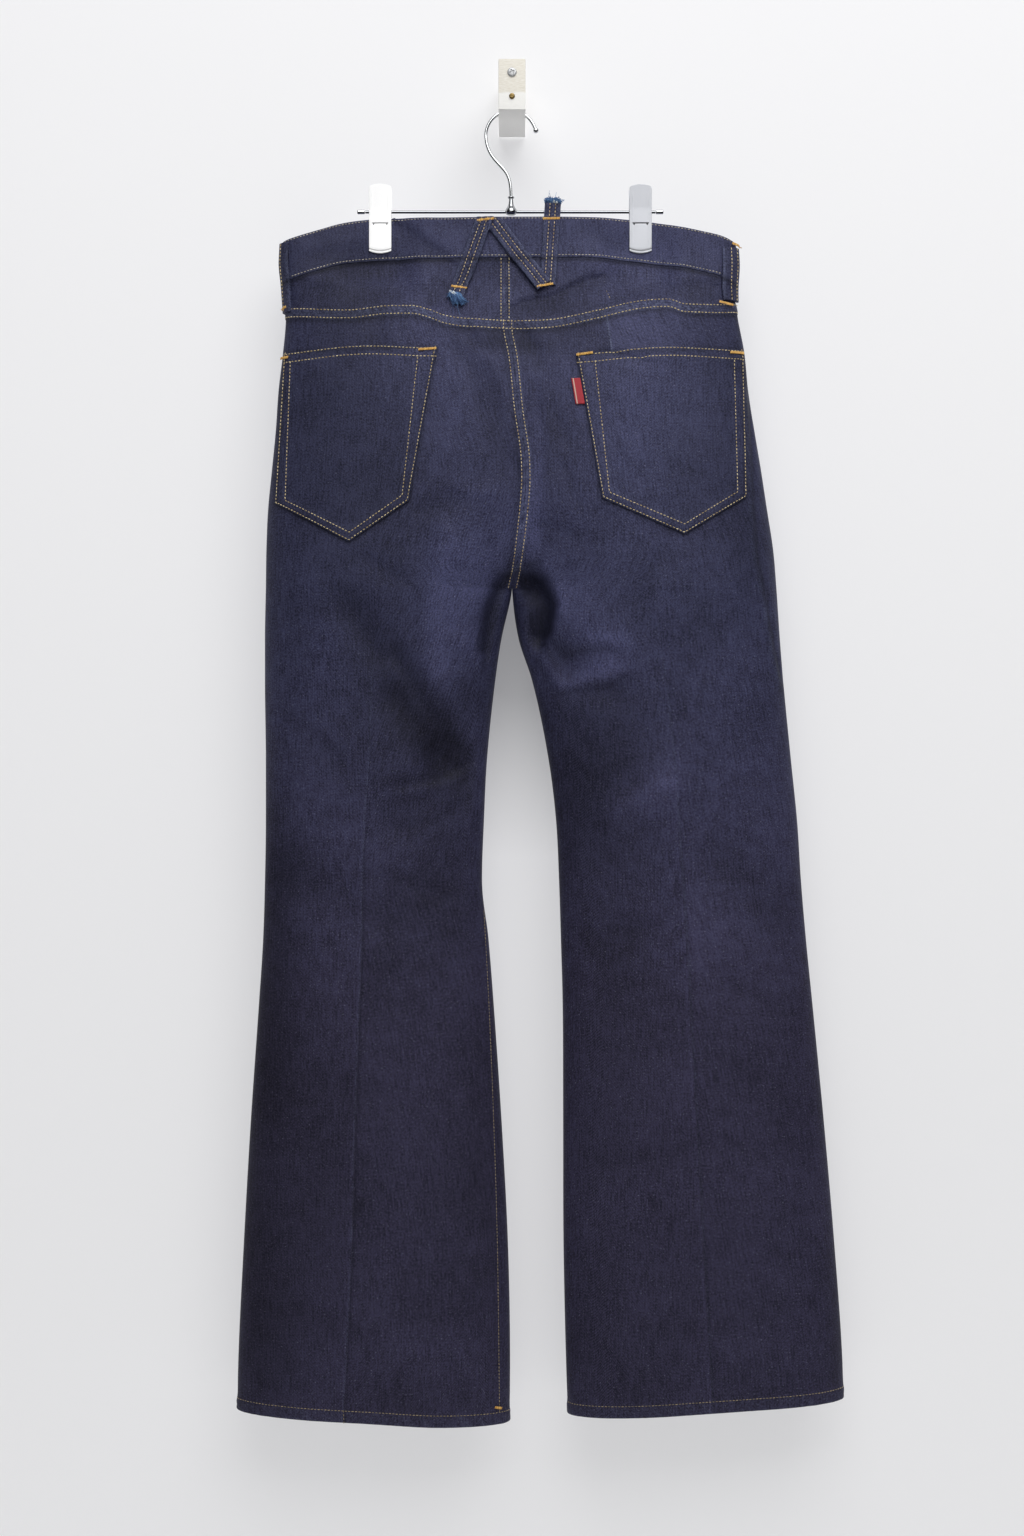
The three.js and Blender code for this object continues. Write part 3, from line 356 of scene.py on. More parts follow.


# Creases that only the scene has, worked over the solids' form, by face: path, width to the left and to
# the right of the path's direction, depth.
creases = {
    "back": (
        (((-28, -228), (-8, -268), (4, -330)), 9, 5, 1.6),
        (((18, -262), (23, -320), (20, -372), (15, -420)), 5, 9, 3.4),
        (((45, -345), (54, -375)), 3, 6, 1.0), (((-44, -363), (-24, -366)), 8, 3, 1.2),
        (((-70, -512), (-62, -540)), 10, 6, 2.2), (((26, -512), (42, -534), (90, -526)), 8, 3, 3.8),
        (((38, -448), (42, -470), (32, -492)), 3, 6, 1.6),
        (((-40, -626), (-70, -645), (-100, -652)), 4, 8, 1.4),
        (((2, -434), (-12, -446), (-20, -466), (-24, -500)), 10, 3.6, -9),
        (((6, -436), (24, -442), (35, -462), (30, -486)), 3.2, 11, -10),
        (((30, -430), (43, -450), (42, -474), (34, -494)), 6, 3, 2.6),
        (((-58, -400), (-64, -450), (-60, -488), (-44, -498)), 5, 9, 2.2),
        (((-104, -506), (-78, -548), (-48, -590)), 9, 4, -3.2),
        (((28, -490), (48, -505), (84, -502)), 3.4, 7, -3.2),
        (((-34, -600), (-66, -616), (-98, -622)), 3, 6, -2.0),
        (((-140, -470), (-118, -505)), 10, 7, -1.5), (((96, -640), (136, -620)), 5, 10, 1.0),
        (((-8, -158), (-40, -170), (-70, -192)), 4, 7, -2.2),
        (((8, -192), (36, -186), (72, -168)), 3, 7, -2.6), (((-46, -216), (-24, -236)), 7, 4, -1.8),
        (((8, -216), (22, -236)), 4, 7, -1.6), (((84, -238), (116, -245)), 2, 5, -1.4),
        (((46, -343), (57, -372)), 3, 6, -1.6), (((-120, -200), (-118, -228)), 5, 7, -1.0),
        (((150, -196), (160, -226)), 5, 7, 0.9), (((60, -150), (150, -172)), 9, 7, 1.4),
        (((-150, -160), (-70, -150)), 8, 8, -1.2), (((-98, -120), (-82, -134), (-60, -148)), 4, 9, -1.8),
        (((-186, -140), (-140, -132)), 6, 5, 1.1), (((-62, -118), (-30, -122)), 5, 8, -0.8),
        (((62, -122), (94, -140)), 8, 4, -0.8), (((-176, -170), (-120, -176), (-80, -170)), 7, 4, 1.2),
        (((84, -196), (120, -178), (176, -174)), 4, 8, -1.1),
        (((-52, -232), (-34, -262), (-30, -290)), 7, 4, -1.5),
        (((-22, -350), (-44, -372), (-78, -380)), 4, 8, -1.0), (((36, -290), (50, -318)), 4, 7, -1.0),
        (((28, -392), (60, -404)), 4, 9, -1.1), (((-130, -420), (-96, -440)), 4, 9, -1.2),
        (((128, -420), (110, -452)), 9, 4, -1.0), (((-196, -560), (-150, -600)), 5, 10, -1.3),
        (((-130, -700), (-60, -720)), 9, 5, -1.2), (((66, -760), (120, -744)), 5, 10, -1.3),
        (((190, -800), (246, -826)), 9, 5, -1.1), (((-180, -880), (-90, -902)), 6, 11, -1.0),
        (((80, -960), (190, -944)), 11, 6, -1.0), (((-60, -1010), (-20, -1040)), 6, 10, 1.0),
        (((-200, -1090), (-130, -1110)), 6, 11, -1.1), (((120, -1110), (230, -1096)), 11, 7, -0.9),
    ),
    "front": (
        (((-20, -430), (-70, -400), (-150, -395)), 6, 9, 2.2),
        (((22, -436), (80, -408), (160, -402)), 9, 6, 2.2),
        (((-30, -455), (-90, -450), (-160, -470)), 6, 8, -1.8),
        (((30, -460), (96, -456), (170, -474)), 8, 6, -1.8),
        (((-70, -640), (-110, -622), (-160, -630)), 6, 8, 1.6),
        (((80, -650), (125, -630), (190, -640)), 8, 6, 1.6), (((-60, -800), (-120, -790)), 9, 9, -1.2),
        (((100, -810), (170, -795)), 9, 9, -1.2),
    ),
}


def creaseHeight(x, z, path, leftWidth, rightWidth):
    best = np.full(np.shape(x), 1e9)
    signed = np.zeros(np.shape(x))
    for (x0, z0), (x1, z1) in zip(path, path[1:]):
        runX, runZ = x1 - x0, z1 - z0
        t = np.clip(((x - x0) * runX + (z - z0) * runZ) / (runX ** 2 + runZ ** 2), 0, 1)
        away = np.hypot(x - x0 - t * runX, z - z0 - t * runZ)
        leftOf = runX * (z - z0) - runZ * (x - x0) > 0
        near = away < best
        signed = np.where(near, np.where(leftOf, -away, away), signed)
        best = np.where(near, away, best)
    return bump(signed, np.where(signed < 0, leftWidth, rightWidth))


def wander(x, z):
    waves = np.sin(x / 31 + 1.3 * np.sin(z / 74)) * np.sin(z / 57 + 0.8 * np.sin(x / 41) + 2)
    small = np.sin(x / 13 + 2 * np.sin(z / 39) + 1) * np.sin(z / 29 + 1.4 * np.sin(x / 23))
    return 0.8 * waves + 0.22 * small


def foldDepth(face, side, x, z):
    inner, outer = edgesAt(face, side, z)
    reach = cloth["sideFade"]
    fade = soft(np.abs(outer - x) / reach) * mix(soft(np.abs(x - inner) / reach), 1, joined(face, z))
    height = wander(x, z) * soft((-150 - z) / 60)
    for x0, z0, x1, z1, width, depth in folds[face]:
        height = height + depth * creaseHeight(x, z, ((x0, z0), (x1, z1)), width, width)
    for path, leftWidth, rightWidth, depth in creases[face]:
        height = height + depth * creaseHeight(x, z, path, leftWidth, rightWidth)
    return height * fade


# Patch pockets: corners on the cloth, X and Z, and the path of each pocket's inner row of stitches
pockets = {
    -1: {
        "topOuter": (-203.5, -235), "topInner": (-66.5, -233.5), "inner": (-90.7, -371),
        "tip": (-143.5, -407), "outer": (-211, -370),
        "innerRow": ((-197, -244), (-201, -368), (-143.2, -398.5), (-96.5, -366), (-83.5, -244)),
    },
    1: {
        "topOuter": (206.5, -232), "topInner": (57, -239.5), "inner": (79.2, -368.5),
        "tip": (152, -400), "outer": (208.5, -365),
        "innerRow": ((197.5, -243), (199.5, -361), (152, -391), (85.5, -363.5), (73.5, -247)),
    },
}


def toPath(x, z, path):
    best = np.full(np.shape(x), 1e9)
    for (x0, z0), (x1, z1) in zip(path, path[1:]):
        runX, runZ = x1 - x0, z1 - z0
        t = np.clip(((x - x0) * runX + (z - z0) * runZ) / (runX ** 2 + runZ ** 2), 0, 1)
        best = np.minimum(best, np.hypot(x - x0 - t * runX, z - z0 - t * runZ))
    return best


# Painted light and shade on the back, in wide soft patches: X, Z, half width, half height, share darker or lighter
paintedShadingPatches = (
    (-162, -142, 46, 24, -0.42), (-150, -182, 32, 22, -0.3), (120, -150, 60, 30, -0.04),
    (135, -143, 30, 12, 0.12), (-82, -208, 22, 40, 0.28), (108, -212, 30, 28, 0.22),
    (165, -192, 14, 26, -0.2), (-5, -150, 60, 12, 0.06), (-55, -295, 32, 56, 0.18),
    (5, -328, 26, 40, -0.2), (102, -350, 32, 70, 0.2), (-160, -330, 58, 90, -0.32),
    (198, -330, 18, 66, -0.32), (216, -412, 16, 36, -0.3), (160, -345, 18, 34, -0.16),
    (-135, -404, 38, 34, -0.12), (-46, -440, 22, 44, -0.06), (-14, -440, 12, 16, 0.36),
    (-4, -388, 24, 18, 0.2), (22, -474, 56, 11, -0.26), (60, -520, 26, 13, 0.5),
    (-40, -532, 16, 24, -0.5), (-165, -505, 16, 26, 0.28), (170, -474, 16, 24, -0.24),
    (-190, -460, 34, 110, -0.06), (190, -560, 40, 110, 0.03), (20, -226, 60, 10, -0.2),
    (-110, -560, 40, 50, -0.08), (62, -636, 36, 58, -0.42), (182, -672, 34, 60, 0.3),
    (138, -746, 24, 40, 0.26), (-160, -690, 26, 45, 0.22), (-130, -738, 26, 28, 0.18),
    (-214, -690, 12, 60, -0.2), (-56, -706, 30, 44, -0.16), (-216, -795, 20, 76, -0.42),
    (-230, -960, 26, 110, -0.5), (-172, -1000, 24, 50, -0.24), (-226, -1112, 20, 60, -0.22),
    (-30, -958, 28, 70, -0.2), (-120, -900, 60, 110, 0.03), (196, -872, 34, 84, 0.2),
    (86, -880, 32, 50, -0.14), (112, -985, 40, 16, 0.16), (-74, -1128, 28, 18, 0.3),
    (70, -1110, 20, 32, -0.14), (192, -1130, 36, 40, 0.14), (290, -1120, 12, 44, -0.2),
    (0, -1140, 300, 60, -0.06), (-20, -227, 12, 5, -0.3), (12, -231, 9, 5, -0.3),
    (34, -197, 28, 8, -0.26), (-60, -180, 26, 16, -0.1), (-16, -259, 6, 24, -0.24),
    (16, -273, 6, 26, -0.2), (44, -258, 14, 22, 0.14),
)


def aboveCrotch(z):
    return soft((z - cloth["crotch"]) / 12)


# Painted light and shade, as a factor on the cloth's colour: darker in creases and lighter on ridges, and on the
# back the patches above, thin dark lines under the waistband and the yoke's seam, and more painted shade beside the
# seams and round the pockets
def paintedShadingAt(face, side, x, z):
    tone = 0.1 * np.clip(foldDepth(face, side, x, z), -9, 4.5)
    if face == "back":
        # Painted light and shade from the patches
        for placeX, placeZ, width, height, share in paintedShadingPatches:
            tone = tone + share * bump(x - placeX, width) * bump(z - placeZ, height)
        # Painted shade under the waistband's lower edge and under the yoke's seam
        tone = tone - 0.8 * bump(z - waistTop["back"](x) + cloth["bandHeight"] + 1.6, 1.3)
        tone = tone - 0.5 * bump(z - yokeLine(x) + 6.4, 1.5)
        # Painted shade just to the right of each leg seam and a painted highlight just to its left
        for column in ("seamLeft", "seamRight"):
            fromSeam = x - along[column](z)
            onLeg = soft((-640 - z) / 60)
            tone = tone - onLeg * (0.34 * bump(fromSeam - 0.7, 1.3) - 0.2 * bump(fromSeam + 1.7, 1.3))
        # Painted shade past the right side seam, beside the seat seam and round the pockets
        past = (x - rightSideSeam(z)) * soft((-250 - z) / 12)
        tone = tone - 0.5 * bump(past - 2.2, 1.5) * soft((z + 545) / 20) * (x > 190)
        besideSeat = bump(x - centre["back"](z) + 6, 1.8) * soft((yokeLine(x) - 8 - z) / 4)
        tone = tone - 0.3 * besideSeat * aboveCrotch(z)
        for corners in pockets.values():
            outline = [corners[k] for k in ("topOuter", "outer", "tip", "inner", "topInner", "topOuter")]
            tone = tone - 0.42 * bump(toPath(x, z, outline), 1.5)
    return np.clip(np.exp(tone), 0.25, 1.6)


# Points a given lift in mm out from the cloth's face at X and Z
def overCloth(face, side, x, z, lift, least=0.15):
    x, z = np.broadcast_arrays(np.asarray(x, float), np.asarray(z, float))
    step = 0.4
    root = np.sqrt(np.maximum(0, squaredDepth(face, side, x, z)))
    slopes = []
    for measure in (squaredDepth, foldDepth):
        slopes.append((measure(face, side, x + step, z) - measure(face, side, x - step, z)) / (2 * step))
        slopes.append((measure(face, side, x, z + step) - measure(face, side, x, z - step)) / (2 * step))
    out = np.stack([-slopes[0] - 2 * root * slopes[2], 2 * root, -slopes[1] - 2 * root * slopes[3]], -1)
    out /= np.linalg.norm(out, axis=-1, keepdims=True) + 1e-9
    depth = np.maximum(root, least) + foldDepth(face, side, x, z)
    way = -1 if face == "back" else 1
    lift = np.broadcast_to(lift, x.shape)
    y = cloth["hangPlane"] + way * (depth + out[..., 1] * lift)
    return np.stack([x + out[..., 0] * lift, y, z + out[..., 2] * lift], -1)


# Relief of the sewn places, in mm. Rows of stitches lie `rowsApart` from each other along a felled seam.
sewing = {
    "rowsApart": 7.2,
    "fellEdge": 1.2,  # cloth outside a row
    "fellLift": 0.75,
    "rowSink": 0.3,
    "rowWidth": 0.75,
    "ropePitch": 6.5,
    "hemRow": 10.8,  # above the hem's edge
    "hemFold": 11.5,
    "hemLift": 0.7,
    "allowance": 11,  # turned under beside the back legs' seam
    "yokeCentreShift": -2.2,  # of the yoke's centre seam from the seat seam's line
}
# Seam lines that have turned into sight on the back: the left inseam's row and the right side seam's ridge
leftInseam = curveThrough(((-700, -27.5), (-808, -21.4), (-900, -17.4), (-1026, -13.4), (-1192, -11.2)))
rightSideSeam = curveThrough((
    (-262, 208), (-282, 209.7), (-422, 216.8), (-460, 224.8), (-499, 231.9), (-530, 239)))


# Uneven twist that a double row gives to the cloth between its rows
def ropeWave(run, pitch):
    turn = 2 * np.pi * run / pitch + 2.3 * np.sin(run / 19) + 1.5 * np.sin(run / 7.1 + 2)
    return np.sin(turn) * (0.55 + 0.45 * np.sin(run / 26 + 1) * np.sin(run / 11.3))


# Height and wear of a felled seam at a signed distance across it; its folded edge lies at minus
def felledSeam(across, run, pitch=sewing["ropePitch"]):
    half = sewing["rowsApart"] / 2
    edge = half + sewing["fellEdge"]
    flat = soft((across + edge) / 0.7) * soft((edge + 0.6 - across) / 1.8)
    rope = ropeWave(run + 0.8 * across, pitch)
    sink = bump(across - half, sewing["rowWidth"]) + bump(across + half, sewing["rowWidth"])
    lift = flat * (sewing["fellLift"] + 0.3 * rope) - sewing["rowSink"] * sink
    wear = flat * (0.2 + 0.4 * rope) * (1 - 0.7 * sink) + 0.24 * bump(across + edge - 0.5, 0.6)
    return lift, np.clip(wear, 0, 1)


# The turned hem's height, its wear, and the distance from its edge
def hemRelief(side, x, z, rubbed, roped):
    fromHem = z - np.where(np.asarray(side) < 0, hemLine[-1](x), hemLine[1](x))
    hem = soft((sewing["hemFold"] + 0.5 - fromHem) / 0.8)
    rope = ropeWave(x + 1.2 * fromHem, 10.5)
    row = bump(fromHem - sewing["hemRow"], sewing["rowWidth"])
    lift = hem * (sewing["hemLift"] + 0.22 * rope) - sewing["rowSink"] * row - 1.2 * roundedOff(fromHem, 1.3)
    return lift, hem * (rubbed + roped * rope) + 0.2 * bump(fromHem, 1.0), fromHem


def backRelief(side, x, z):
    fromYoke = z - yokeLine(x)
    lift, wear = felledSeam(fromYoke, x)
    below = soft((-fromYoke - 4) / 2)
    above = soft((fromYoke - 4) / 2)

    fromSeat = x - centre["back"](z)
    fade = below * soft((z - cloth["crotch"] - 2) / 12)
    for part, shift in ((fade, 0), (above, sewing["yokeCentreShift"])):
        high, worn = felledSeam(shift - fromSeat, z, pitch=10)
        lift, wear = lift + part * high, wear + 0.75 * part * worn

    legSeam = bySide(side, "seamLeft", "seamRight", z)
    out = (x - legSeam) * side
    turned = soft((out + sewing["allowance"]) / 2) * soft(-out / 1.2)
    rope = ropeWave(z, 12)
    seen = soft((-480 - z) / 60)
    short = (np.asarray(side) > 0) * below * soft((z + 246) / 12)
    lift = lift + below * (0.12 * turned * seen - 0.1 * bump(out, 0.7) * seen)
    wear = wear + seen * (0.12 + 0.1 * rope) * bump(out - 0.9, 0.5) + 0.5 * short * bump(out, 0.6)

    high, worn, fromHem = hemRelief(side, x, z, 0.05, 0.13)
    lift, wear = lift + high, wear + worn
    lift = lift + 0.14 * ropeWave(x - 0.6 * fromHem, 13) * soft((40 - fromHem) / 26)

    left = (np.asarray(side) < 0) * soft((-680 - z) / 60)
    lift = lift + left * (0.5 * soft((x - leftInseam(z) + 1.4) / 0.8) - 0.3 * bump(x - leftInseam(z), 0.8))
    right = (np.asarray(side) > 0) * soft((-255 - z) / 25) * soft((z + 540) / 25)
    past = x - rightSideSeam(z)
    lift = lift + right * (0.9 * bump(past, 2.2) - 1.0 * bump(past - 3.2, 1.4))
    wear = wear + 0.2 * right * bump(past + 0.6, 1.0)
    return lift, np.clip(wear, 0, 1)


def frontRelief(side, x, z):
    lift, wear, _ = hemRelief(side, x, z, 0.03, 0.07)
    fromSeam = x - centre["front"](z)
    fade = soft((z - cloth["crotch"] - 2) / 12) * soft((-300 - z) / 6)
    high, worn = felledSeam(-fromSeam, z, pitch=10)
    return lift + fade * high, np.clip(wear + 0.75 * fade * worn, 0, 1)


# Marks from 0 to 1 over a length: cells grow from `start` to `coarse` mm and shrink to `end`
def spread(length, coarse, start, end, growth=0.3):
    marks = [0.0]
    while marks[-1] < length:
        here = marks[-1]
        marks.append(here + min(coarse, start + growth * here, end + growth * max(0.0, length - here)))
    return np.array(marks) / marks[-1]


# Smooth faces, with creases kept where they meet at more than `sharp` degrees
def meshPiece(name, mesh, material, sharp):
    mesh.shade_smooth()
    mesh.set_sharp_from_angle(angle=math.radians(sharp))
    mesh.materials.append(material)
    return placed(name, mesh)


def newPiece(name, points, faces, material, fields=None, uv=None):
    mesh = bpy.data.meshes.new(name)
    mesh.from_pydata((np.asarray(points) * 0.001).tolist(), [], np.asarray(faces).tolist())
    for field, values in (fields or {}).items():
        mesh.attributes.new(field, "FLOAT", "POINT").data.foreach_set("value", np.asarray(values, float))
    if uv is not None:
        corner = np.zeros(len(mesh.loops), np.int32)
        mesh.loops.foreach_get("vertex_index", corner)
        mesh.uv_layers.new(name="cut").data.foreach_set("uv", np.asarray(uv)[corner].ravel())
    return meshPiece(name, mesh, material, 50)


# A cloth piece from the grid of points of its outer and its inner skin
def clothPiece(name, outer, inner, wear, material):
    rows, columns = outer.shape[:2]
    front = np.arange(rows * columns).reshape(rows, columns)
    back = front + rows * columns

    def quads(*corners):
        return np.stack(corners, -1).reshape(-1, 4)

    rim = np.concatenate([front[0, :-1], front[:-1, -1], front[-1, :0:-1], front[:0:-1, 0]])
    after = np.roll(rim, -1)
    faces = np.concatenate([
        quads(front[:-1, :-1], front[:-1, 1:], front[1:, 1:], front[1:, :-1]),
        quads(back[:-1, :-1], back[1:, :-1], back[1:, 1:], back[:-1, 1:]),
        quads(after, rim, rim + rows * columns, after + rows * columns),
    ])
    points = np.concatenate([outer.reshape(-1, 3), inner.reshape(-1, 3)])
    a, b, c, d = (points[faces[:, i]] for i in range(4))
    volume = (a * np.cross(b, c)).sum() + (a * np.cross(c, d)).sum()
    if volume < 0:
        faces = faces[:, ::-1]
    across = np.linalg.norm(np.diff(outer, axis=1), axis=2)
    down = np.linalg.norm(np.diff(outer, axis=0), axis=2)
    u = np.pad(np.cumsum(across, axis=1), ((0, 0), (1, 0))) + outer[:, :1, 0]
    v = outer[0, :, 2] - np.pad(np.cumsum(down, axis=0), ((1, 0), (0, 0)))
    uv = np.stack([u, v], -1).reshape(-1, 2) * 0.001
    uv = np.concatenate([uv, uv])
    worn = np.concatenate([np.asarray(wear).ravel(), np.zeros(rows * columns)])
    x, z = outer[..., 0].ravel(), outer[..., 2].ravel()
    # Painted light and shade for the cloth's colour, for the back or the front face of each point
    tones = [paintedShadingAt(face, np.where(x < centre[face](z), -1, 1), x, z) for face in ("back", "front")]
    tone = np.tile(np.where(outer[..., 1].ravel() < cloth["hangPlane"], *tones), 2)
    piece = newPiece(name, points, faces, material, {"wear": worn, "paintedShading": tone}, uv)
    cell = np.linalg.norm(np.cross(outer[1:, 1:] - outer[:-1, :-1], outer[1:, :-1] - outer[:-1, 1:]), axis=2)
    area = cell.sum() / 2 * 1e-6
    width, length = across.sum(axis=1).max() * 0.001, down.sum(axis=0).max() * 0.001
    return piece, width, length, min(area, width * length)


def declare(made, nodes):
    piece, width, length, area = made
    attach(piece, "root")
    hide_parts(*nodes)
    return piece


fabric = {
    "twillPitch": 1.25,  # mm; real twill lines are 0.8 mm apart and wouldn't show
    "slubWidth": 1.3,
    "slubLength": 22,
    "mottle": 14,
    "patch": 120,
    # Each pair holds a colour low on the legs and one from the seat up; the lighter, bluer ones from the seat up are
    # painted light
    "dark": ("#1c1a29", "#1c1c30"),  # low on the legs, and from the seat up
    "light": ("#3f3c56", "#464867"),
    "fibre": "#8f8fa6",
    "worn": "#79829f",
}


# Raw indigo denim, a cotton twill dyed on its warp alone. It is matt, with a slight sheen of loose fibre,
# thick and thin yarns that run down it, a mottled fade, and paler cores where seams have rubbed.
# Its colour is painted lighter and bluer from the seat up, for the light from above and its sheen: painted light.
def makeDenim(name, lighter=0.0):
    material, tree, shader = newMaterial(name, {
        "Roughness": 0.6, "Specular IOR Level": 0.16, "Sheen Weight": 0.02, "Sheen Roughness": 0.5,
        "Sheen Tint": colour("#8c93b4")})
    cut = addNode(tree, "ShaderNodeUVMap", uv_map="cut").outputs[0]
    turned = addNode(tree, "ShaderNodeMapping", {"Vector": cut, "Rotation": (0, 0, math.radians(27))})
    twill = addNode(tree, "ShaderNodeTexWave", {
        "Vector": turned, "Scale": math.pi / (10 * fabric["twillPitch"] * 0.001),
        "Distortion": 1.2, "Detail": 1.0, "Detail Scale": 0.6})
    long = addNode(tree, "ShaderNodeMapping", {
        "Vector": cut, "Scale": (1000 / fabric["slubWidth"], 1000 / fabric["slubLength"], 1)})
    slub = addNode(tree, "ShaderNodeTexNoise", {"Vector": long, "Scale": 1.0, "Detail": 2.0})
    fine = addNode(tree, "ShaderNodeTexNoise", {
        "Vector": cut, "Scale": 560.0, "Detail": 3.0, "Roughness": 0.7})
    mottle = addNode(tree, "ShaderNodeTexNoise", {
        "Vector": cut, "Scale": 1000 / fabric["mottle"], "Detail": 5.0, "Roughness": 0.62})
    patch = addNode(tree, "ShaderNodeTexNoise", {
        "Vector": cut, "Scale": 1000 / fabric["patch"], "Detail": 2.0})
    yarn = addNode(tree, "ShaderNodeMath", {0: twill.outputs[1], 1: 0.3}, operation="MULTIPLY")
    for thread, weight in ((slub, 0.75), (fine, 1.7)):
        yarn = addNode(tree, "ShaderNodeMath", {
            0: thread, 1: weight, 2: yarn}, operation="MULTIPLY_ADD")
    tone = yarn
    for cloud, weight in ((mottle, 0.5), (patch, 0.45)):
        tone = addNode(tree, "ShaderNodeMath", {
            0: cloud, 1: weight, 2: tone}, operation="MULTIPLY_ADD")
    share = addNode(tree, "ShaderNodeMapRange", {
        "Value": tone, "From Min": 1.5 - lighter, "From Max": 2.14 - lighter,
        "To Min": 0.0, "To Max": 1.0})
    # Painted light: the colours turn lighter and bluer from the seat up
    height = addNode(tree, "ShaderNodeSeparateXYZ", {0: cut}).outputs[1]
    height = addNode(tree, "ShaderNodeMath", {
        0: mottle, 1: 0.2, 2: height}, operation="MULTIPLY_ADD")
    height = addNode(tree, "ShaderNodeMapRange", {
        "Value": height, "From Min": -0.72, "From Max": -0.36, "To Min": 0.0, "To Max": 1.0})
    tones = [addNode(tree, "ShaderNodeMix", {
        0: height, 6: colour(fabric[k][0]), 7: colour(fabric[k][1])}, data_type="RGBA").outputs[2]
        for k in ("dark", "light")]
    base = addNode(tree, "ShaderNodeMix", {
        0: share, 6: tones[0], 7: tones[1]}, data_type="RGBA")
    fleck = addNode(tree, "ShaderNodeTexNoise", {"Vector": cut, "Scale": 750.0, "Detail": 0.0})
    fleck = addNode(tree, "ShaderNodeMapRange", {
        "Value": fleck, "From Min": 0.7, "From Max": 0.86, "To Min": 0.0, "To Max": 0.35})
    flecked = addNode(tree, "ShaderNodeMix", {
        0: fleck, 6: base.outputs[2], 7: colour(fabric["fibre"])}, data_type="RGBA")
    wear = addNode(tree, "ShaderNodeAttribute", attribute_name="wear")
    rubbed = addNode(tree, "ShaderNodeMapRange", {
        "Value": yarn, "From Min": 1.15, "From Max": 1.65, "To Min": 0.04, "To Max": 1.0})
    rubbed = addNode(tree, "ShaderNodeMath", {
        0: rubbed, 1: wear.outputs["Fac"]}, operation="MULTIPLY")
    worn = addNode(tree, "ShaderNodeMix", {
        0: rubbed, 6: flecked.outputs[2], 7: colour(fabric["worn"])}, data_type="RGBA")
    relief = addNode(tree, "ShaderNodeBump", {
        "Strength": 0.6, "Distance": 0.0003, "Height": yarn})
    # The colour is scaled by the painted light and shade made with the cloth pieces
    paintedShading = addNode(tree, "ShaderNodeAttribute", attribute_name="paintedShading")
    shaded = addNode(tree, "ShaderNodeVectorMath", {
        0: worn.outputs[2], "Scale": paintedShading.outputs["Fac"]}, operation="SCALE")
    tree.links.new(shaded.outputs[0], shader.inputs["Base Color"])
    tree.links.new(relief.outputs[0], shader.inputs["Normal"])
    return material


# Spun polyester thread with a soft lustre; each stitch is a little lighter or darker than the next.
def makeThread(name, low, high):
    material, tree, shader = newMaterial(name, {"Roughness": 0.55, "Sheen Weight": 0.2})
    shade = addNode(tree, "ShaderNodeAttribute", attribute_name="shade")
    tint = addNode(tree, "ShaderNodeMix", {
        0: shade.outputs["Fac"], 6: colour(low), 7: colour(high)}, data_type="RGBA")
    place = addNode(tree, "ShaderNodeTexCoord").outputs["Object"]
    ply = addNode(tree, "ShaderNodeTexNoise", {"Vector": place, "Scale": 2600.0, "Detail": 1.0})
    relief = addNode(tree, "ShaderNodeBump", {"Strength": 0.4, "Distance": 0.0001, "Height": ply})
    tree.links.new(tint.outputs[2], shader.inputs["Base Color"])
    tree.links.new(relief.outputs[0], shader.inputs["Normal"])
    return material


denim = makeDenim("raw indigo denim")
bandDenim = makeDenim("raw indigo denim, waistband", lighter=0.12)
ochreThread = makeThread("ochre polyester thread", "#a0885a", "#ead7a8")
paleThread = makeThread("ecru thread", "#958e80", "#cfc6b2")
fadedThread = makeThread("faded ecru thread", "#74684f", "#b09d76")
tackThread = makeThread("orange bartack thread", "#bd8a33", "#efc069")
print("cloth materials made")

# Leg panels
panel = {
    "across": 3.2,  # mm between columns in the middle of a panel
    "down": 3.3,
    "frontAcross": 5.4,
    "frontDown": 5.2,
    "seamGap": 0.04,
    "bodyHeight": 245,
    "legHeight": 742,
}


def frontTop(x):
    start, side = 101, np.where(x < 0, 204.5, 207)
    share = np.clip((np.abs(x) - start) / (side - start), 0, 1)
    atStart = waistTop["front"](np.where(x < 0, -start, start)) - cloth["bandHeight"]
    opening = mix(-238, atStart, (1 - share) ** 2.2)
    return np.where(np.abs(x) < start, waistTop["front"](x) - cloth["bandHeight"], opening)


def panelPlaces(side, start, end, top, width, across, down):
    columns = spread(width, across, 0.05, 0.25)
    body = 1 - spread(panel["bodyHeight"], down - 0.4, 0.4, 0.12, growth=0.22)
    leg = spread(panel["legHeight"], down, 0.8, 0.15, growth=0.22)[1:]
    shares = np.concatenate([body, leg])[:, None]
    inBody = np.arange(len(shares))[:, None] < len(body)
    z = np.full((len(shares), len(columns)), float(cloth["crotch"]))
    for turn in range(6):
        x = mix(start(z), end(z), columns)
        upper = mix(cloth["crotch"], top(x), shares)
        z = np.where(inBody, upper, mix(cloth["crotch"], hemLine[side](x), shares))
    return x, z


def denimPiece(node, outer, inner, wear, held, under, material=denim):
    made = clothPiece("denim_" + node, outer, inner, wear, material)
    declare(made, [node])


def panelPiece(node, face, side, x, z, under):
    lift, wear = (backRelief if face == "back" else frontRelief)(side, x, z)
    outer = overCloth(face, side, x, z, lift)
    inner = overCloth(face, side, x, z, lift - cloth["wall"])
    denimPiece(node, outer, inner, wear, "hung", [under])


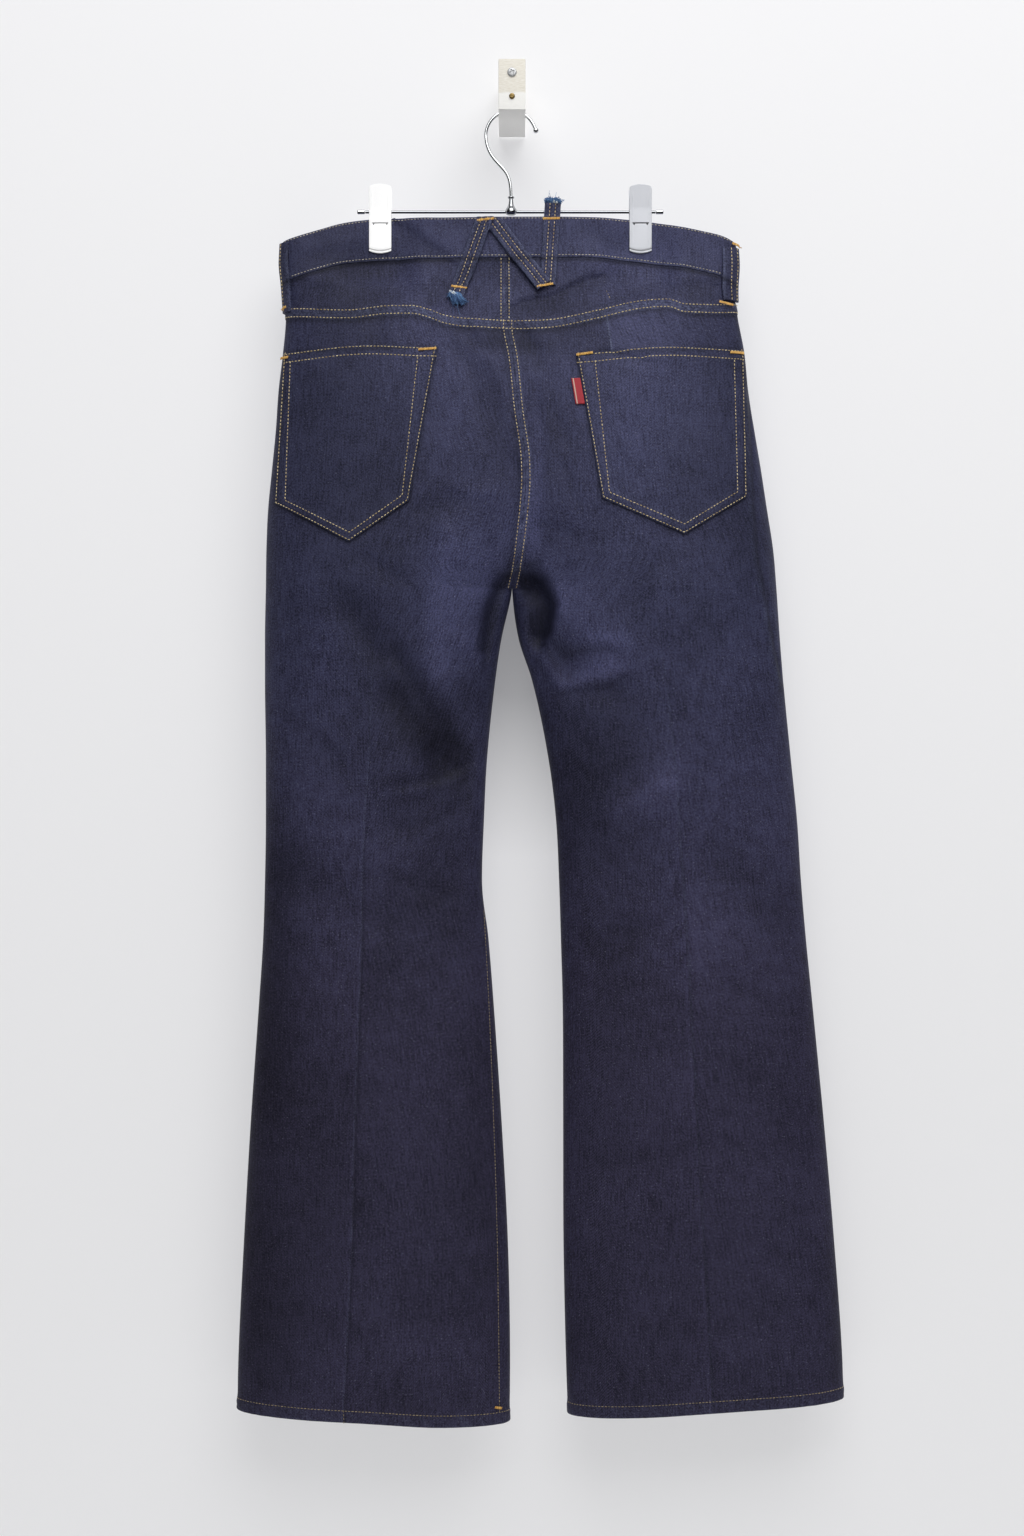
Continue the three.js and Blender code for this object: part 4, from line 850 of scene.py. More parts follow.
def addLegPanels(side):
    name = sideName[side]
    seamColumn = {-1: "seamLeft", 1: "seamRight"}[side]

    def seam(shift):
        return lambda z: along[seamColumn](z) + side * shift * panel["seamGap"] / 2

    def edge(face, which):
        return lambda z: edgesAt(face, side, z)[which]

    for part, start, end, width in (
            ("inner", edge("back", 0), seam(-1), 128), ("outer", edge("back", 1), seam(1), 112)):
        x, z = panelPlaces(side, start, end, yokeLine, width, panel["across"], panel["down"])
        panelPiece(f"back_{part}_{name}", "back", side, x, z, f"denim_yoke_{name}")
    width, grid = 240, (panel["frontAcross"], panel["frontDown"])
    x, z = panelPlaces(side, edge("front", 0), edge("front", 1), frontTop, width, *grid)
    panelPiece(f"front_{name}", "front", side, x, z, "denim_waistband")


# X and Z of a grid above the crotch, from shares across each side and from lines down it
def bodyPlaces(face, side, shares, line, marks):
    z = np.full((len(marks), len(shares)), -150.0)
    for turn in range(6):
        inner, outer = edgesAt(face, side, z)
        x = mix(inner, outer, shares)
        z = line(x, marks[:, None])
    return x, z


def addYoke(side):
    def line(x, share):
        return mix(waistTop["back"](x) - cloth["bandHeight"] - 0.15, yokeLine(x) + 0.15, share)

    shares = spread(205, 1.9, 0.3, 0.03, growth=0.25)
    x, z = bodyPlaces("back", side, shares, line, spread(50, 1.3, 0.3, 0.25))
    panelPiece(f"yoke_{sideName[side]}", "back", side, x, z, "denim_waistband")


def addFacing(side):
    def line(x, share):
        return mix(waistTop["front"](x) - cloth["bandHeight"] - 0.3, frontTop(x) + 0.6, share)

    shares = mix(0.52, 1, spread(98, 3.0, 0.6, 0.05, growth=0.25))
    x, z = bodyPlaces("front", side, shares, line, spread(80, 3.0, 0.5, 0.5))
    lift = -0.9 * np.ones_like(x)
    outer = overCloth("front", side, x, z, lift)
    inner = overCloth("front", side, x, z, lift - 1.2)
    name = sideName[side]
    denimPiece(f"pocket_facing_{name}", outer, inner, 0.03 + 0 * x, "laid", [f"denim_front_{name}"])


# Waistband: one strip from its under end in front, round the right side and the back to its upper end
band = {
    "underEnd": -30,
    "upperEnd": 15,
    "lapDrop": 3.0,
    "lapRise": 24,
    "topRow": 1.6,  # stitches below the upper edge
    "lowRow": 2.4,  # stitches above the lower edge
    "edgeRound": 1.3,
}


def bandRelief(x, down):
    fromEdge = np.minimum(down, cloth["bandHeight"] - down)
    rounding = roundedOff(fromEdge, band["edgeRound"])
    rows = bump(down - band["topRow"], 0.7) + bump(cloth["bandHeight"] - band["lowRow"] - down, 0.7)
    low = soft((down - 24) / 14)
    rope = ropeWave(x + 0.7 * down, 11)
    lift = 0.16 * rope * (0.25 + low) - 0.3 * rows - band["edgeRound"] * rounding
    wear = 0.02 + 0.3 * low * np.maximum(rope, 0) + 0.24 * bump(fromEdge, 0.8)
    return lift, wear


def addWaistband():
    width = 204
    toSide = spread(width, 2.0, 0.5, 0.03, growth=0.25)
    underLap = np.linspace(band["underEnd"] / width, 0, 16)[:-1]
    upperLap = np.linspace(0, -(band["upperEnd"] - 2) / width, 10)[1:]
    runs = (
        (1, "front", np.concatenate([underLap, toSide]), 1),
        (1, "back", toSide[::-1][1:], 0),
        (-1, "back", toSide[1:], 0),
        (-1, "front", np.concatenate([toSide[::-1][1:], upperLap]), 0),
    )
    down = spread(cloth["bandHeight"] - 0.15, 1.3, 0.15, 0.15)[:, None] * (cloth["bandHeight"] - 0.15)
    outers, inners, wears = [], [], []
    for side, face, shares, layer in runs:
        z = np.full((len(down), len(shares)), -125.0)
        for turn in range(6):
            inner, outer = edgesAt(face, side, z)
            x = mix(inner, outer, shares)
            z = waistTop[face](x) - down
        lift, wear = bandRelief(x, down)
        lift = cloth["bandRaise"] + lift * (1 - 0.8 * grip(x, z))
        if layer:
            lift = lift - band["lapDrop"] * soft((band["upperEnd"] + band["lapRise"] - x) / band["lapRise"])
        outers.append(overCloth(face, side, x, z, lift, 0))
        inners.append(overCloth(face, side, x, z, lift - cloth["bandWall"], 0))
        wears.append(wear)
    outer, inner, wear = (np.concatenate(parts, 1) for parts in (outers, inners, wears))
    clips = [f"clip_{side}_{face}_jaw" for side in ("left", "right") for face in ("back", "front")]
    denimPiece("waistband", outer, inner, wear, "hung", clips, bandDenim)


patch = {
    "lift": 1.9,  # the outer face over the panels
    "wall": 1.3,
    "edgeRow": 1.5,
    "hemRow": 8.6,  # the second row below the upper edge
    "hemRows": 1.4,
    "topWave": 3.2,
}


# The upper edge of a pocket waves a little with the cloth
def pocketTop(side, share):
    corners = pockets[side]
    x = mix(corners["topOuter"][0], corners["topInner"][0], share)
    z = mix(corners["topOuter"][1], corners["topInner"][1], share)
    return x, z + patch["topWave"] * np.sin(math.pi * share) ** 2


def pocketRelief(side, x, z):
    corners = pockets[side]
    sides = [corners[k] for k in ("topOuter", "outer", "tip", "inner", "topInner")]
    fromSide = toPath(x, z, sides)
    share = (x - corners["topOuter"][0]) / (corners["topInner"][0] - corners["topOuter"][0])
    fromTop = pocketTop(side, np.clip(share, 0, 1))[1] - z
    edge = np.minimum(fromSide, np.maximum(fromTop, 0))
    rounding = roundedOff(edge, 1.3)
    inner = toPath(x, z, corners["innerRow"])
    hem = soft((11.5 - fromTop) / 1.2)
    turned = soft((10 - fromSide) / 1.5)
    rope = ropeWave(x + 0.8 * z, 9)
    sideRope = ropeWave(z + 0.5 * x, 11)
    rows = bump(fromSide - patch["edgeRow"], 0.7) + bump(inner, 0.7) * soft((fromTop - 7) / 1)
    rows = rows + bump(fromTop - patch["hemRows"], 0.7) + bump(fromTop - patch["hemRow"], 0.7)
    body = 0.35 * np.sin(x / 17 + 2) * np.sin(z / 23 + 1 + np.sin(x / 31))
    lift = patch["lift"] + 0.35 * hem + 0.25 * turned + 0.18 * rope * hem + 0.12 * sideRope * turned
    lift = lift - 0.26 * rows - 1.25 * rounding + body * soft((edge - 8) / 14)
    wear = 0.02 + 0.12 * hem * np.maximum(rope, -0.3) + 0.06 * turned * np.maximum(sideRope, 0)
    wear = wear + 0.24 * bump(edge, 0.8) + 0.05 * bump(edge - 9.5, 1.5)
    return lift, np.clip(wear, 0, 1)


def addPocket(side):
    corners = pockets[side]
    name = sideName[side]
    height = 150
    toTip = spread(70, 1.7, 0.2, 0.5) * 0.5
    across = np.concatenate([toTip, 1 - toTip[::-1][1:]])
    down = spread(height, 1.6, 0.2, 0.2)[:, None]
    tipShare = (corners["tip"][0] - corners["outer"][0]) / (corners["inner"][0] - corners["outer"][0])
    across = np.where(across < 0.5, across * 2 * tipShare, tipShare + (across - 0.5) * 2 * (1 - tipShare))
    topX, topZ = pocketTop(side, across)
    lowX = np.interp(across, [0, tipShare, 1], [corners[k][0] for k in ("outer", "tip", "inner")])
    lowZ = np.interp(across, [0, tipShare, 1], [corners[k][1] for k in ("outer", "tip", "inner")])
    x, z = mix(topX, lowX, down), mix(topZ, lowZ, down)
    lift, wear = pocketRelief(side, x, z)
    outer = overCloth("back", side, x, z, lift)
    inner = overCloth("back", side, x, z, np.minimum(lift - 0.2, patch["lift"] - patch["wall"]))
    under = [f"denim_back_inner_{name}", f"denim_back_outer_{name}"]
    denimPiece(f"back_pocket_{name}", outer, inner, wear, "laid", under)


# Belt loops: face, where a run starts and ends, its lift at the start, the bend and the end, and the share
# of its length at the bend
runs = {
    "loop_strip_left_run": ("back", (-24, -113), (-50, -185), (4.2, 4, 0.7), 0.22),
    "loop_strip_cross_run": ("back", (-18.8, -113), (28.6, -177), (1.4, 3.5, 3.5), 0.72),
    "loop_strip_right_run": ("back", (36.7, -99.5), (31.7, -175), (1.5, 1.4, 0.7), 0.62),
    "loop_front_left": ("front", (-60, -120), (-60, -179), (1.4, 1.9, 0.8), 0.5),
    "loop_front_right": ("front", (60, -120), (60, -179), (1.4, 1.9, 0.8), 0.5),
}
loop = {
    "width": 14.5,
    "wall": 2.0,
    "rows": (-2.5, 2.5),
    "mitres": {"loop_strip_cross_run": 0.74, "loop_strip_left_run": -0.36},
}


def runPlace(name, share, aside):
    face, start, end, lifts, bend = runs[name]
    wayX, wayZ = np.subtract(end, start) / np.hypot(*np.subtract(end, start))
    cut = loop["mitres"].get(name, 0) * aside * (1 - share)
    x = mix(start[0], end[0], share) - wayZ * aside + wayX * cut
    z = mix(start[1], end[1], share) + wayX * aside + wayZ * cut
    lift = np.interp(share, [0, bend, 1], lifts) + loop["wall"]
    edge = loop["width"] / 2 - np.abs(aside)
    sunk = sum(bump(aside - row, 0.6) for row in loop["rows"])
    lift = lift + 0.22 * np.cos(aside * 2 * math.pi / 5) - 0.28 * sunk
    lift = lift - 0.9 * roundedOff(edge, 1.1)
    side = np.where(x < centre[face](z), -1, 1)
    return face, side, x, z, lift


def addRun(name):
    length = np.hypot(*np.subtract(runs[name][2], runs[name][1]))
    share = spread(length, 1.4, 0.3, 0.3)[:, None]
    aside = (spread(loop["width"], 0.8, 0.15, 0.15)[None, :] - 0.5) * loop["width"]
    share, aside = np.broadcast_arrays(share, aside)
    face, side, x, z, lift = runPlace(name, share, aside)
    outer = overCloth(face, side, x, z, lift)
    inner = overCloth(face, side, x, z, np.interp(share, [0, runs[name][4], 1], runs[name][3]))
    edge = loop["width"] / 2 - np.abs(aside)
    ply = ropeWave(share * length + aside, 3.4)
    wear = (0.22 + 0.2 * ply) * np.maximum(np.cos(aside * 2 * math.pi / 5), 0) + 0.55 * bump(edge - 0.3, 0.6)
    denimPiece(name, outer, inner, wear, "folded", ["denim_waistband"])


# Side loops: height of both ends, shares of the way out to the side seam on the back and then the front
sideLoops = {
    -1: (-135, -197, 0.968, 0.972),
    1: (-139.5, -187.5, 0.938, 1.0),
}


def sideLoopPlace(side, across, down):
    top, bottom, back, front = sideLoops[side]
    backPart = 1.0 if front == 1 else 0.55
    onBack = across <= backPart
    toSide = np.clip(across / backPart, 0, 1)
    past = np.clip((across - backPart) / max(1e-6, 1 - backPart), 0, 1)
    share = np.where(onBack, 1 - (1 - back) * (1 - toSide) ** 2, 1 - (1 - front) * past ** 2)
    z = mix(top, bottom, down)
    lift = mix(1.3, 0.9, down) + 1.2 * np.sin(math.pi * down) + loop["wall"]
    return onBack, share, z, lift


def addSideLoop(side):
    across, down = np.meshgrid(np.linspace(0, 1, 26), spread(55, 1.6, 0.3, 0.3))
    onBack, share, z, lift = sideLoopPlace(side, across, down)
    skins = []
    edge = np.minimum(across, 1 - across) * loop["width"]
    rounding = 0.8 * roundedOff(edge, 1.0)
    sunk = bump(across - 0.33, 0.04) + bump(across - 0.67, 0.04)
    for height in (lift - rounding - 0.25 * sunk, 0.3 + 0.2 * down):
        halves = []
        for face in ("back", "front"):
            inner, outer = edgesAt(face, side, z)
            halves.append(overCloth(face, side, mix(inner, outer, share), z, height, 0))
        skins.append(np.where(onBack[..., None], halves[0], halves[1]))
    wear = 0.05 + 0.3 * bump(edge - 0.3, 0.7)
    denimPiece(f"loop_side_{sideName[side]}", *skins, wear, "folded", ["denim_waistband"])


# Fly: a lapped strip over the front seam, its free end rounded towards the seam
fly = {
    "width": 40,
    "lap": 3,
    "top": -161,
    "length": 142,
    "curve": 44,
    "tipWidth": 3,
}


def addFly():
    whole = fly["width"] + fly["lap"]
    down, across = np.meshgrid(
        spread(fly["length"], 2.2, 0.3, 0.3), spread(whole, 2.0, 0.3, 0.3), indexing="ij")
    fromEnd = fly["length"] * (1 - down)
    curved = np.sqrt(np.maximum(0, 1 - (1 - fromEnd / fly["curve"]) ** 2))
    narrow = np.where(fromEnd < fly["curve"], curved, 1)
    seam = float(centre["front"](fly["top"]))
    left = seam - np.maximum(fly["tipWidth"], fly["width"] * narrow)
    x = mix(left, seam + fly["lap"], across)
    z = fly["top"] - fly["length"] * down
    side = np.where(x < centre["front"](z), -1, 1)
    edge = np.minimum(np.minimum(across, 1 - across) * whole, np.minimum(down, 1 - down) * fly["length"])
    lift = 1.9 - 1.0 * roundedOff(edge, 1.2)
    outer = overCloth("front", side, x, z, lift)
    inner = overCloth("front", side, x, z, 0.6 + 0 * lift)
    denimPiece("fly_flap", outer, inner, 0.08 + 0.35 * bump(edge, 0.8), "laid", ["denim_front_left"])


for side in (-1, 1):
    addLegPanels(side)
    addYoke(side)
    addFacing(side)
    addPocket(side)
    addSideLoop(side)
addWaistband()
addFly()
for name in runs:
    addRun(name)
print("cloth pieces made")


# Sewing. A row is a path on a piece; its stitches are made along it by the node tree below.
sewn = {"ochre": [], "pale": [], "faded": [], "tack": []}


def alongPath(path, step=1.2):
    path = np.asarray(path, float)
    run = np.concatenate([[0], np.cumsum(np.hypot(*np.diff(path, axis=0).T))])
    at = np.linspace(0, run[-1], max(2, int(run[-1] / step) + 1))
    return np.interp(at, run, path[:, 0]), np.interp(at, run, path[:, 1])


def sew(kind, face, side, x, z, lift, least=0.15):
    proud = {"ochre": 0.16, "pale": 0.16, "faded": 0.12, "tack": 0.35}[kind]
    points = overCloth(face, side, x, z, lift + proud, least)
    sewn[kind].append((points, points - overCloth(face, side, x, z, lift + proud - 1, least)))


def sewPanel(path, kind="ochre"):
    x, z = alongPath(path)
    side = np.where(x < centre["back"](z), -1, 1)
    sew(kind, "back", side, x, z, backRelief(side, x, z)[0])


# The same path moved inwards, to the left of its direction
def inset(path, distance):
    path = np.asarray(path, float)
    way = np.diff(path, axis=0)
    way /= np.linalg.norm(way, axis=1, keepdims=True)
    left = np.stack([-way[:, 1], way[:, 0]], -1) * distance
    moved = [path[0] + left[0]]
    for i in range(1, len(path) - 1):
        bisector = left[i - 1] + left[i]
        moved.append(path[i] + bisector * distance ** 2 / (bisector @ left[i]))
    return moved + [path[-1] + left[-1]]


def sewBack():
    half = sewing["rowsApart"] / 2
    x = np.linspace(-203, 202, 260)
    for shift in (-half, half):
        sewPanel(np.stack([x, yokeLine(x) + shift], -1))
        for start, end, number, aside in ((-209, -444, 150, 0), (-150, -209, 40, sewing["yokeCentreShift"])):
            z = np.linspace(start, end, number)
            sewPanel(np.stack([centre["back"](z) + aside + shift, z], -1))
    z = np.linspace(-735, -1181, 200)
    sewPanel(np.stack([leftInseam(z), z], -1), "faded")
    sewPanel(((-149, -1186), (-149.4, -1176.5)), "faded")
    sewPanel(((84.5, -180.5), (87, -186)), "faded")
    for side in (-1, 1):
        for face in ("back", "front"):
            height = hemLine[side](0) + sewing["hemRow"]
            inner, outer = (float(e) for e in edgesAt(face, side, height))
            x = np.linspace(inner + side * 1.2, outer - side * 1.2, 190)
            z = hemLine[side](x) + sewing["hemRow"]
            relief = backRelief if face == "back" else frontRelief
            sew("faded", face, side, x, z, relief(side, x, z)[0])


def sewPocket(side):
    corners = pockets[side]
    outline = [corners[k] for k in ("topOuter", "outer", "tip", "inner", "topInner")]
    paths = [inset(outline, -side * patch["edgeRow"]), corners["innerRow"]]
    share = np.linspace(0.008, 0.992, 90)
    topX, topZ = pocketTop(side, share)
    paths += [np.stack([topX, topZ - drop], -1) for drop in (patch["hemRows"], patch["hemRow"])]
    for path in paths:
        x, z = alongPath(path)
        sew("ochre", "back", side, x, z, pocketRelief(side, x, z)[0])


def sewRuns():
    for name in runs:
        for row in loop["rows"]:
            share = np.linspace(0.02, 0.98, 60)
            face, side, x, z, lift = runPlace(name, share, row + 0 * share)
            sew("ochre", face, side, x, z, lift)


def sewSideLoops():
    for side in (-1, 1):
        for row in (0.33, 0.67):
            down = np.linspace(0.03, 0.97, 50)
            onBack, share, z, lift = sideLoopPlace(side, row + 0 * down, down)
            face = "back" if onBack[0] else "front"
            inner, outer = edgesAt(face, side, z)
            sew("ochre", face, side, mix(inner, outer, share), z, lift - 0.2, 0)


def sewBand():
    for face in ("back", "front"):
        x = np.linspace(-203, 198, 420)
        side = np.where(x < centre[face](-130), -1, 1)
        for down in (band["topRow"], cloth["bandHeight"] - band["lowRow"]):
            z = waistTop[face](x) - down
            lift = cloth["bandRaise"] + bandRelief(x, down + 0 * x)[0] * (1 - 0.8 * grip(x, z))
            sew("pale", face, side, x, z, lift, 0)


def sewFly():
    for shift in (3, 8.5):
        left, end = centre["front"](0) - fly["width"] + shift, fly["top"] - fly["length"] + 8
        turn = np.linspace(0, 1, 20) * math.pi / 2
        x = np.concatenate([[left, left], left + 34 * (1 - np.cos(turn))])
        z = np.concatenate([[fly["top"], end + 40], end + 40 - (36 + shift / 3) * np.sin(turn)])
        x, z = alongPath(np.stack([x, z], -1))
        sew("ochre", "front", np.where(x < centre["front"](z), -1, 1), x, z, 1.85 + 0 * x)


def sewOpenings():
    for drop in (1.6, 7.6):
        for side in (-1, 1):
            x = side * np.linspace(104, 199, 90)
            sew("ochre", "front", side, x, frontTop(x) - drop, 0.05 + 0 * x)


# Bartacks: X and Z of both ends, and the lift of what they are sewn on
tacks = (
    (-31, -115.8, -16.2, -114.9, 6.1), (-54.2, -176.4, -40.2, -179.6, 3.1),
    (22.3, -178.6, 36.4, -176, 5.4), (27.9, -114.2, 42.6, -114, 3.5), (196.2, -135.8, 203, -138, 3.6),
    (184.3, -190.2, 196, -192, 3.2), (-204.6, -193.6, -200.4, -192.6, 3.1),
    (-82.4, -236.2, -67.2, -235.2, 3.0), (-205, -239.2, -198.6, -239, 3.0),
    (57.2, -241.2, 71.2, -239, 3.0), (193.8, -235.4, 205.4, -235, 3.0),
    (-15.4, -1176.6, -9.8, -1178.4, 1.0),
)


def sewTacks():
    for x0, z0, x1, z1, lift in tacks:
        x, z = alongPath(((x0, z0), (x1, z1)), 0.6)
        side = np.where(x < centre["back"](z), -1, 1)
        sew("tack", "back", side, x, z, lift - 0.3 + 0 * x)


sewBack()
for side in (-1, 1):
    sewPocket(side)
sewRuns()
sewSideLoops()
sewBand()
sewFly()
sewOpenings()
sewTacks()


# Geometry Nodes: a line becomes a row of stitches that lie along it, or turned across it for a bartack
def makeSewTree():
    tree = bpy.data.node_groups.new("row of stitches", "GeometryNodeTree")
    tree.interface.new_socket("Geometry", in_out="INPUT", socket_type="NodeSocketGeometry")
    for label, kind in (("Pitch", "Float"), ("Length", "Float"), ("Thread", "Float"), ("Turn", "Float"),
                        ("Stray", "Float"), ("Seed", "Int"), ("Material", "Material")):
        tree.interface.new_socket(label, in_out="INPUT", socket_type="NodeSocket" + kind)
    tree.interface.new_socket("Geometry", in_out="OUTPUT", socket_type="NodeSocketGeometry")
    given = addNode(tree, "NodeGroupInput").outputs
    line = addNode(tree, "GeometryNodeMeshToCurve", {"Mesh": given["Geometry"]})
    spaced = addNode(tree, "GeometryNodeResampleCurve", {
        "Curve": line, "Length": given["Pitch"]}, mode="LENGTH")
    tangent = addNode(tree, "GeometryNodeInputTangent")
    out = addNode(tree, "GeometryNodeInputNamedAttribute", {"Name": "out"}, data_type="FLOAT_VECTOR")
    lying = addNode(tree, "FunctionNodeAlignRotationToVector", {"Vector": tangent}, axis="X")
    facing = addNode(tree, "FunctionNodeAlignRotationToVector", {
        "Rotation": lying, "Vector": out}, axis="Z", pivot_axis="X")
    back = addNode(tree, "ShaderNodeMath", {0: given["Stray"], 1: -1.0}, operation="MULTIPLY")
    stray = addNode(tree, "FunctionNodeRandomValue", {
        "Min": back, "Max": given["Stray"], "Seed": given["Seed"]}, data_type="FLOAT")
    turn = addNode(tree, "ShaderNodeMath", {0: given["Turn"], 1: stray.outputs[1]})
    turn = addNode(tree, "ShaderNodeCombineXYZ", {"Z": turn})
    turn = addNode(tree, "FunctionNodeEulerToRotation", {0: turn})
    turned = addNode(tree, "FunctionNodeRotateRotation", {
        0: facing, 1: turn}, rotation_space="LOCAL")
    stitch = addNode(tree, "GeometryNodeMeshUVSphere", {"Segments": 6, "Rings": 5, "Radius": 0.5})
    size = addNode(tree, "ShaderNodeCombineXYZ", {
        "X": given["Length"], "Y": given["Thread"], "Z": given["Thread"]})
    poles = addNode(tree, "GeometryNodeTransform", {
        "Geometry": stitch, "Rotation": (0, math.radians(90), 0)})
    sized = addNode(tree, "GeometryNodeTransform", {"Geometry": poles, "Scale": size})
    stitches = addNode(tree, "GeometryNodeInstanceOnPoints", {
        "Points": spaced, "Instance": sized, "Rotation": turned})
    shade = addNode(tree, "FunctionNodeRandomValue", {"Seed": given["Seed"]}, data_type="FLOAT")
    shaded = addNode(tree, "GeometryNodeStoreNamedAttribute", {
        "Geometry": stitches, "Name": "shade", "Value": shade.outputs[1]},
        data_type="FLOAT", domain="INSTANCE")
    real = addNode(tree, "GeometryNodeRealizeInstances", {"Geometry": shaded})
    smooth = addNode(tree, "GeometryNodeSetShadeSmooth", {"Geometry": real})
    dyed = addNode(tree, "GeometryNodeSetMaterial", {
        "Geometry": smooth, "Material": given["Material"]})
    addNode(tree, "NodeGroupOutput", {0: dyed})
    return tree


def lineMesh(name, lines):
    count = [len(line[0]) for line in lines]
    first = np.concatenate([[0], np.cumsum(count)])
    edges = [(i, i + 1) for start, size in zip(first, count) for i in range(start, start + size - 1)]
    mesh = bpy.data.meshes.new(name)
    mesh.from_pydata((np.concatenate([line[0] for line in lines]) * 0.001).tolist(), edges, [])
    out = mesh.attributes.new("out", "FLOAT_VECTOR", "POINT")
    out.data.foreach_set("vector", np.concatenate([line[1] for line in lines]).ravel())
    return placed(name, mesh)


# Runs a node tree on an object and keeps its result as a plain mesh
def grown(thing, tree, values):
    modifier = thing.modifiers.new("grown", "NODES")
    modifier.node_group = tree
    for item in tree.interface.items_tree:
        if item.in_out == "INPUT" and item.name in values:
            modifier[item.identifier] = values[item.name]
    bpy.context.view_layer.update()
    mesh = bpy.data.meshes.new_from_object(thing.evaluated_get(bpy.context.evaluated_depsgraph_get()))
    thing.modifiers.clear()
    old, thing.data = thing.data, mesh
    bpy.data.meshes.remove(old)
    return thing


stitchSizes = {
    # kind: pitch, length, thread in mm, turn and stray in degrees, material
    "ochre": (3.2, 2.15, 0.9, 0, 6, ochreThread),
    "pale": (3.0, 1.95, 0.78, 0, 8, paleThread),
    "faded": (3.0, 2.2, 0.66, 0, 7, fadedThread),
    "tack": (0.52, 2.6, 0.66, 82, 9, tackThread),
}
sewTree = makeSewTree()
for seed, (kind, (pitch, length, thread, turn, stray, material)) in enumerate(stitchSizes.items()):
    row = lineMesh(f"stitches_{kind}", sewn[kind])
    grown(row, sewTree, {
        "Pitch": pitch * 0.001, "Length": length * 0.001, "Thread": thread * 0.001,
        "Turn": math.radians(turn), "Stray": math.radians(stray), "Seed": seed, "Material": material})
    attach(row, "root")
print("stitches sewn")


# Tape folded in two and caught under the right pocket's edge
tab = {
    "corners": ((52.3, -262), (60.2, -261.7), (64.2, -285), (56, -285.2)),
    "width": 8.2,
    "length": 23.4,
    "wall": 1.3,
    "lift": 0.6,
}


# Woven tape, plain red with a thin ecru line near its folded edge.
def makeTape():
    material, tree, shader = newMaterial("red woven tape", {"Roughness": 0.7})
    cut = addNode(tree, "ShaderNodeUVMap", uv_map="cut").outputs[0]
    weave = addNode(tree, "ShaderNodeTexWave", {
        "Vector": cut, "Scale": 400.0, "Distortion": 2.0}, bands_direction="Y")
    line = addNode(tree, "ShaderNodeAttribute", attribute_name="wear")
    base = addNode(tree, "ShaderNodeMix", {
        0: weave.outputs[1], 6: colour("#96202c"), 7: colour("#b93440")}, data_type="RGBA")
    lined = addNode(tree, "ShaderNodeMix", {
        0: line.outputs["Fac"], 6: base.outputs[2], 7: colour("#d8c8b4")}, data_type="RGBA")
    relief = addNode(tree, "ShaderNodeBump", {
        "Strength": 0.5, "Distance": 0.0002, "Height": weave.outputs[1]})
    tree.links.new(lined.outputs[2], shader.inputs["Base Color"])
    tree.links.new(relief.outputs[0], shader.inputs["Normal"])
    return material


def addTab():
    width, length = tab["width"], tab["length"]
    across, down = np.meshgrid(spread(width, 0.4, 0.12, 0.3), spread(length, 0.8, 0.15, 0.15))
    (x0, z0), (x1, z1), (x2, z2), (x3, z3) = tab["corners"]
    x = mix(mix(x0, x1, across), mix(x3, x2, across), down)
    z = mix(mix(z0, z1, across), mix(z3, z2, across), down)
    edge = np.minimum(across * width, np.minimum(down, 1 - down) * length)
    bow = 0.5 * np.sin(math.pi * down) * (1 - across)
    lift = tab["lift"] + tab["wall"] + bow - 0.6 * roundedOff(edge, 0.7)
    outer = overCloth("back", 1, x, z, lift)
    inner = overCloth("back", 1, x, z, tab["lift"] + bow)
    made = clothPiece("tape_pocket_tab", outer, inner, bump(across * width - 1.6, 0.3), makeTape())
    declare(made, ["pocket_tab"])


addTab()


# A round bar along a path of points in mm, with closed ends
def tube(path, radius, sides=16):
    path = np.asarray(path, float)
    radius = np.broadcast_to(radius, len(path))
    way = np.gradient(path, axis=0)
    way /= np.linalg.norm(way, axis=1, keepdims=True)
    side = np.cross(way[0], (0.31, 0.2, 0.93))
    rings = []
    for point, ahead, size in zip(path, way, radius):
        side = side - ahead * (side @ ahead)
        side /= np.linalg.norm(side)
        angle = np.arange(sides)[:, None] * 2 * math.pi / sides
        rings.append(point + size * (np.cos(angle) * side + np.sin(angle) * np.cross(ahead, side)))
    return skinned(np.array(rings))


# Rings of points made into a closed body: quads between rings, a fan over each end
def skinned(rings):
    count, sides = rings.shape[:2]
    points = np.concatenate([rings.reshape(-1, 3), rings[:1].mean(axis=1), rings[-1:].mean(axis=1)])
    here = np.arange(count * sides).reshape(count, sides)
    after = np.roll(here, -1, axis=1)
    faces = np.stack([here[:-1], after[:-1], after[1:], here[1:]], -1).reshape(-1, 4).tolist()
    first, last = count * sides, count * sides + 1
    faces += [(first, b, a) for a, b in zip(here[0], after[0])]
    faces += [(last, a, b) for a, b in zip(here[-1], after[-1])]
    return points, faces


# Turned body: profile of radii and heights from bottom to top, about an axis through a place
def lathe(profile, place, axis, sides=40):
    axis = np.asarray(axis, float)
    side = np.cross(axis, (0.31, 0.2, 0.93))
    side /= np.linalg.norm(side)
    angle = np.arange(sides)[:, None] * 2 * math.pi / sides
    around = np.cos(angle) * side + np.sin(angle) * np.cross(axis, side)
    return skinned(np.array([np.add(place, h * axis) + r * around for r, h in profile]))


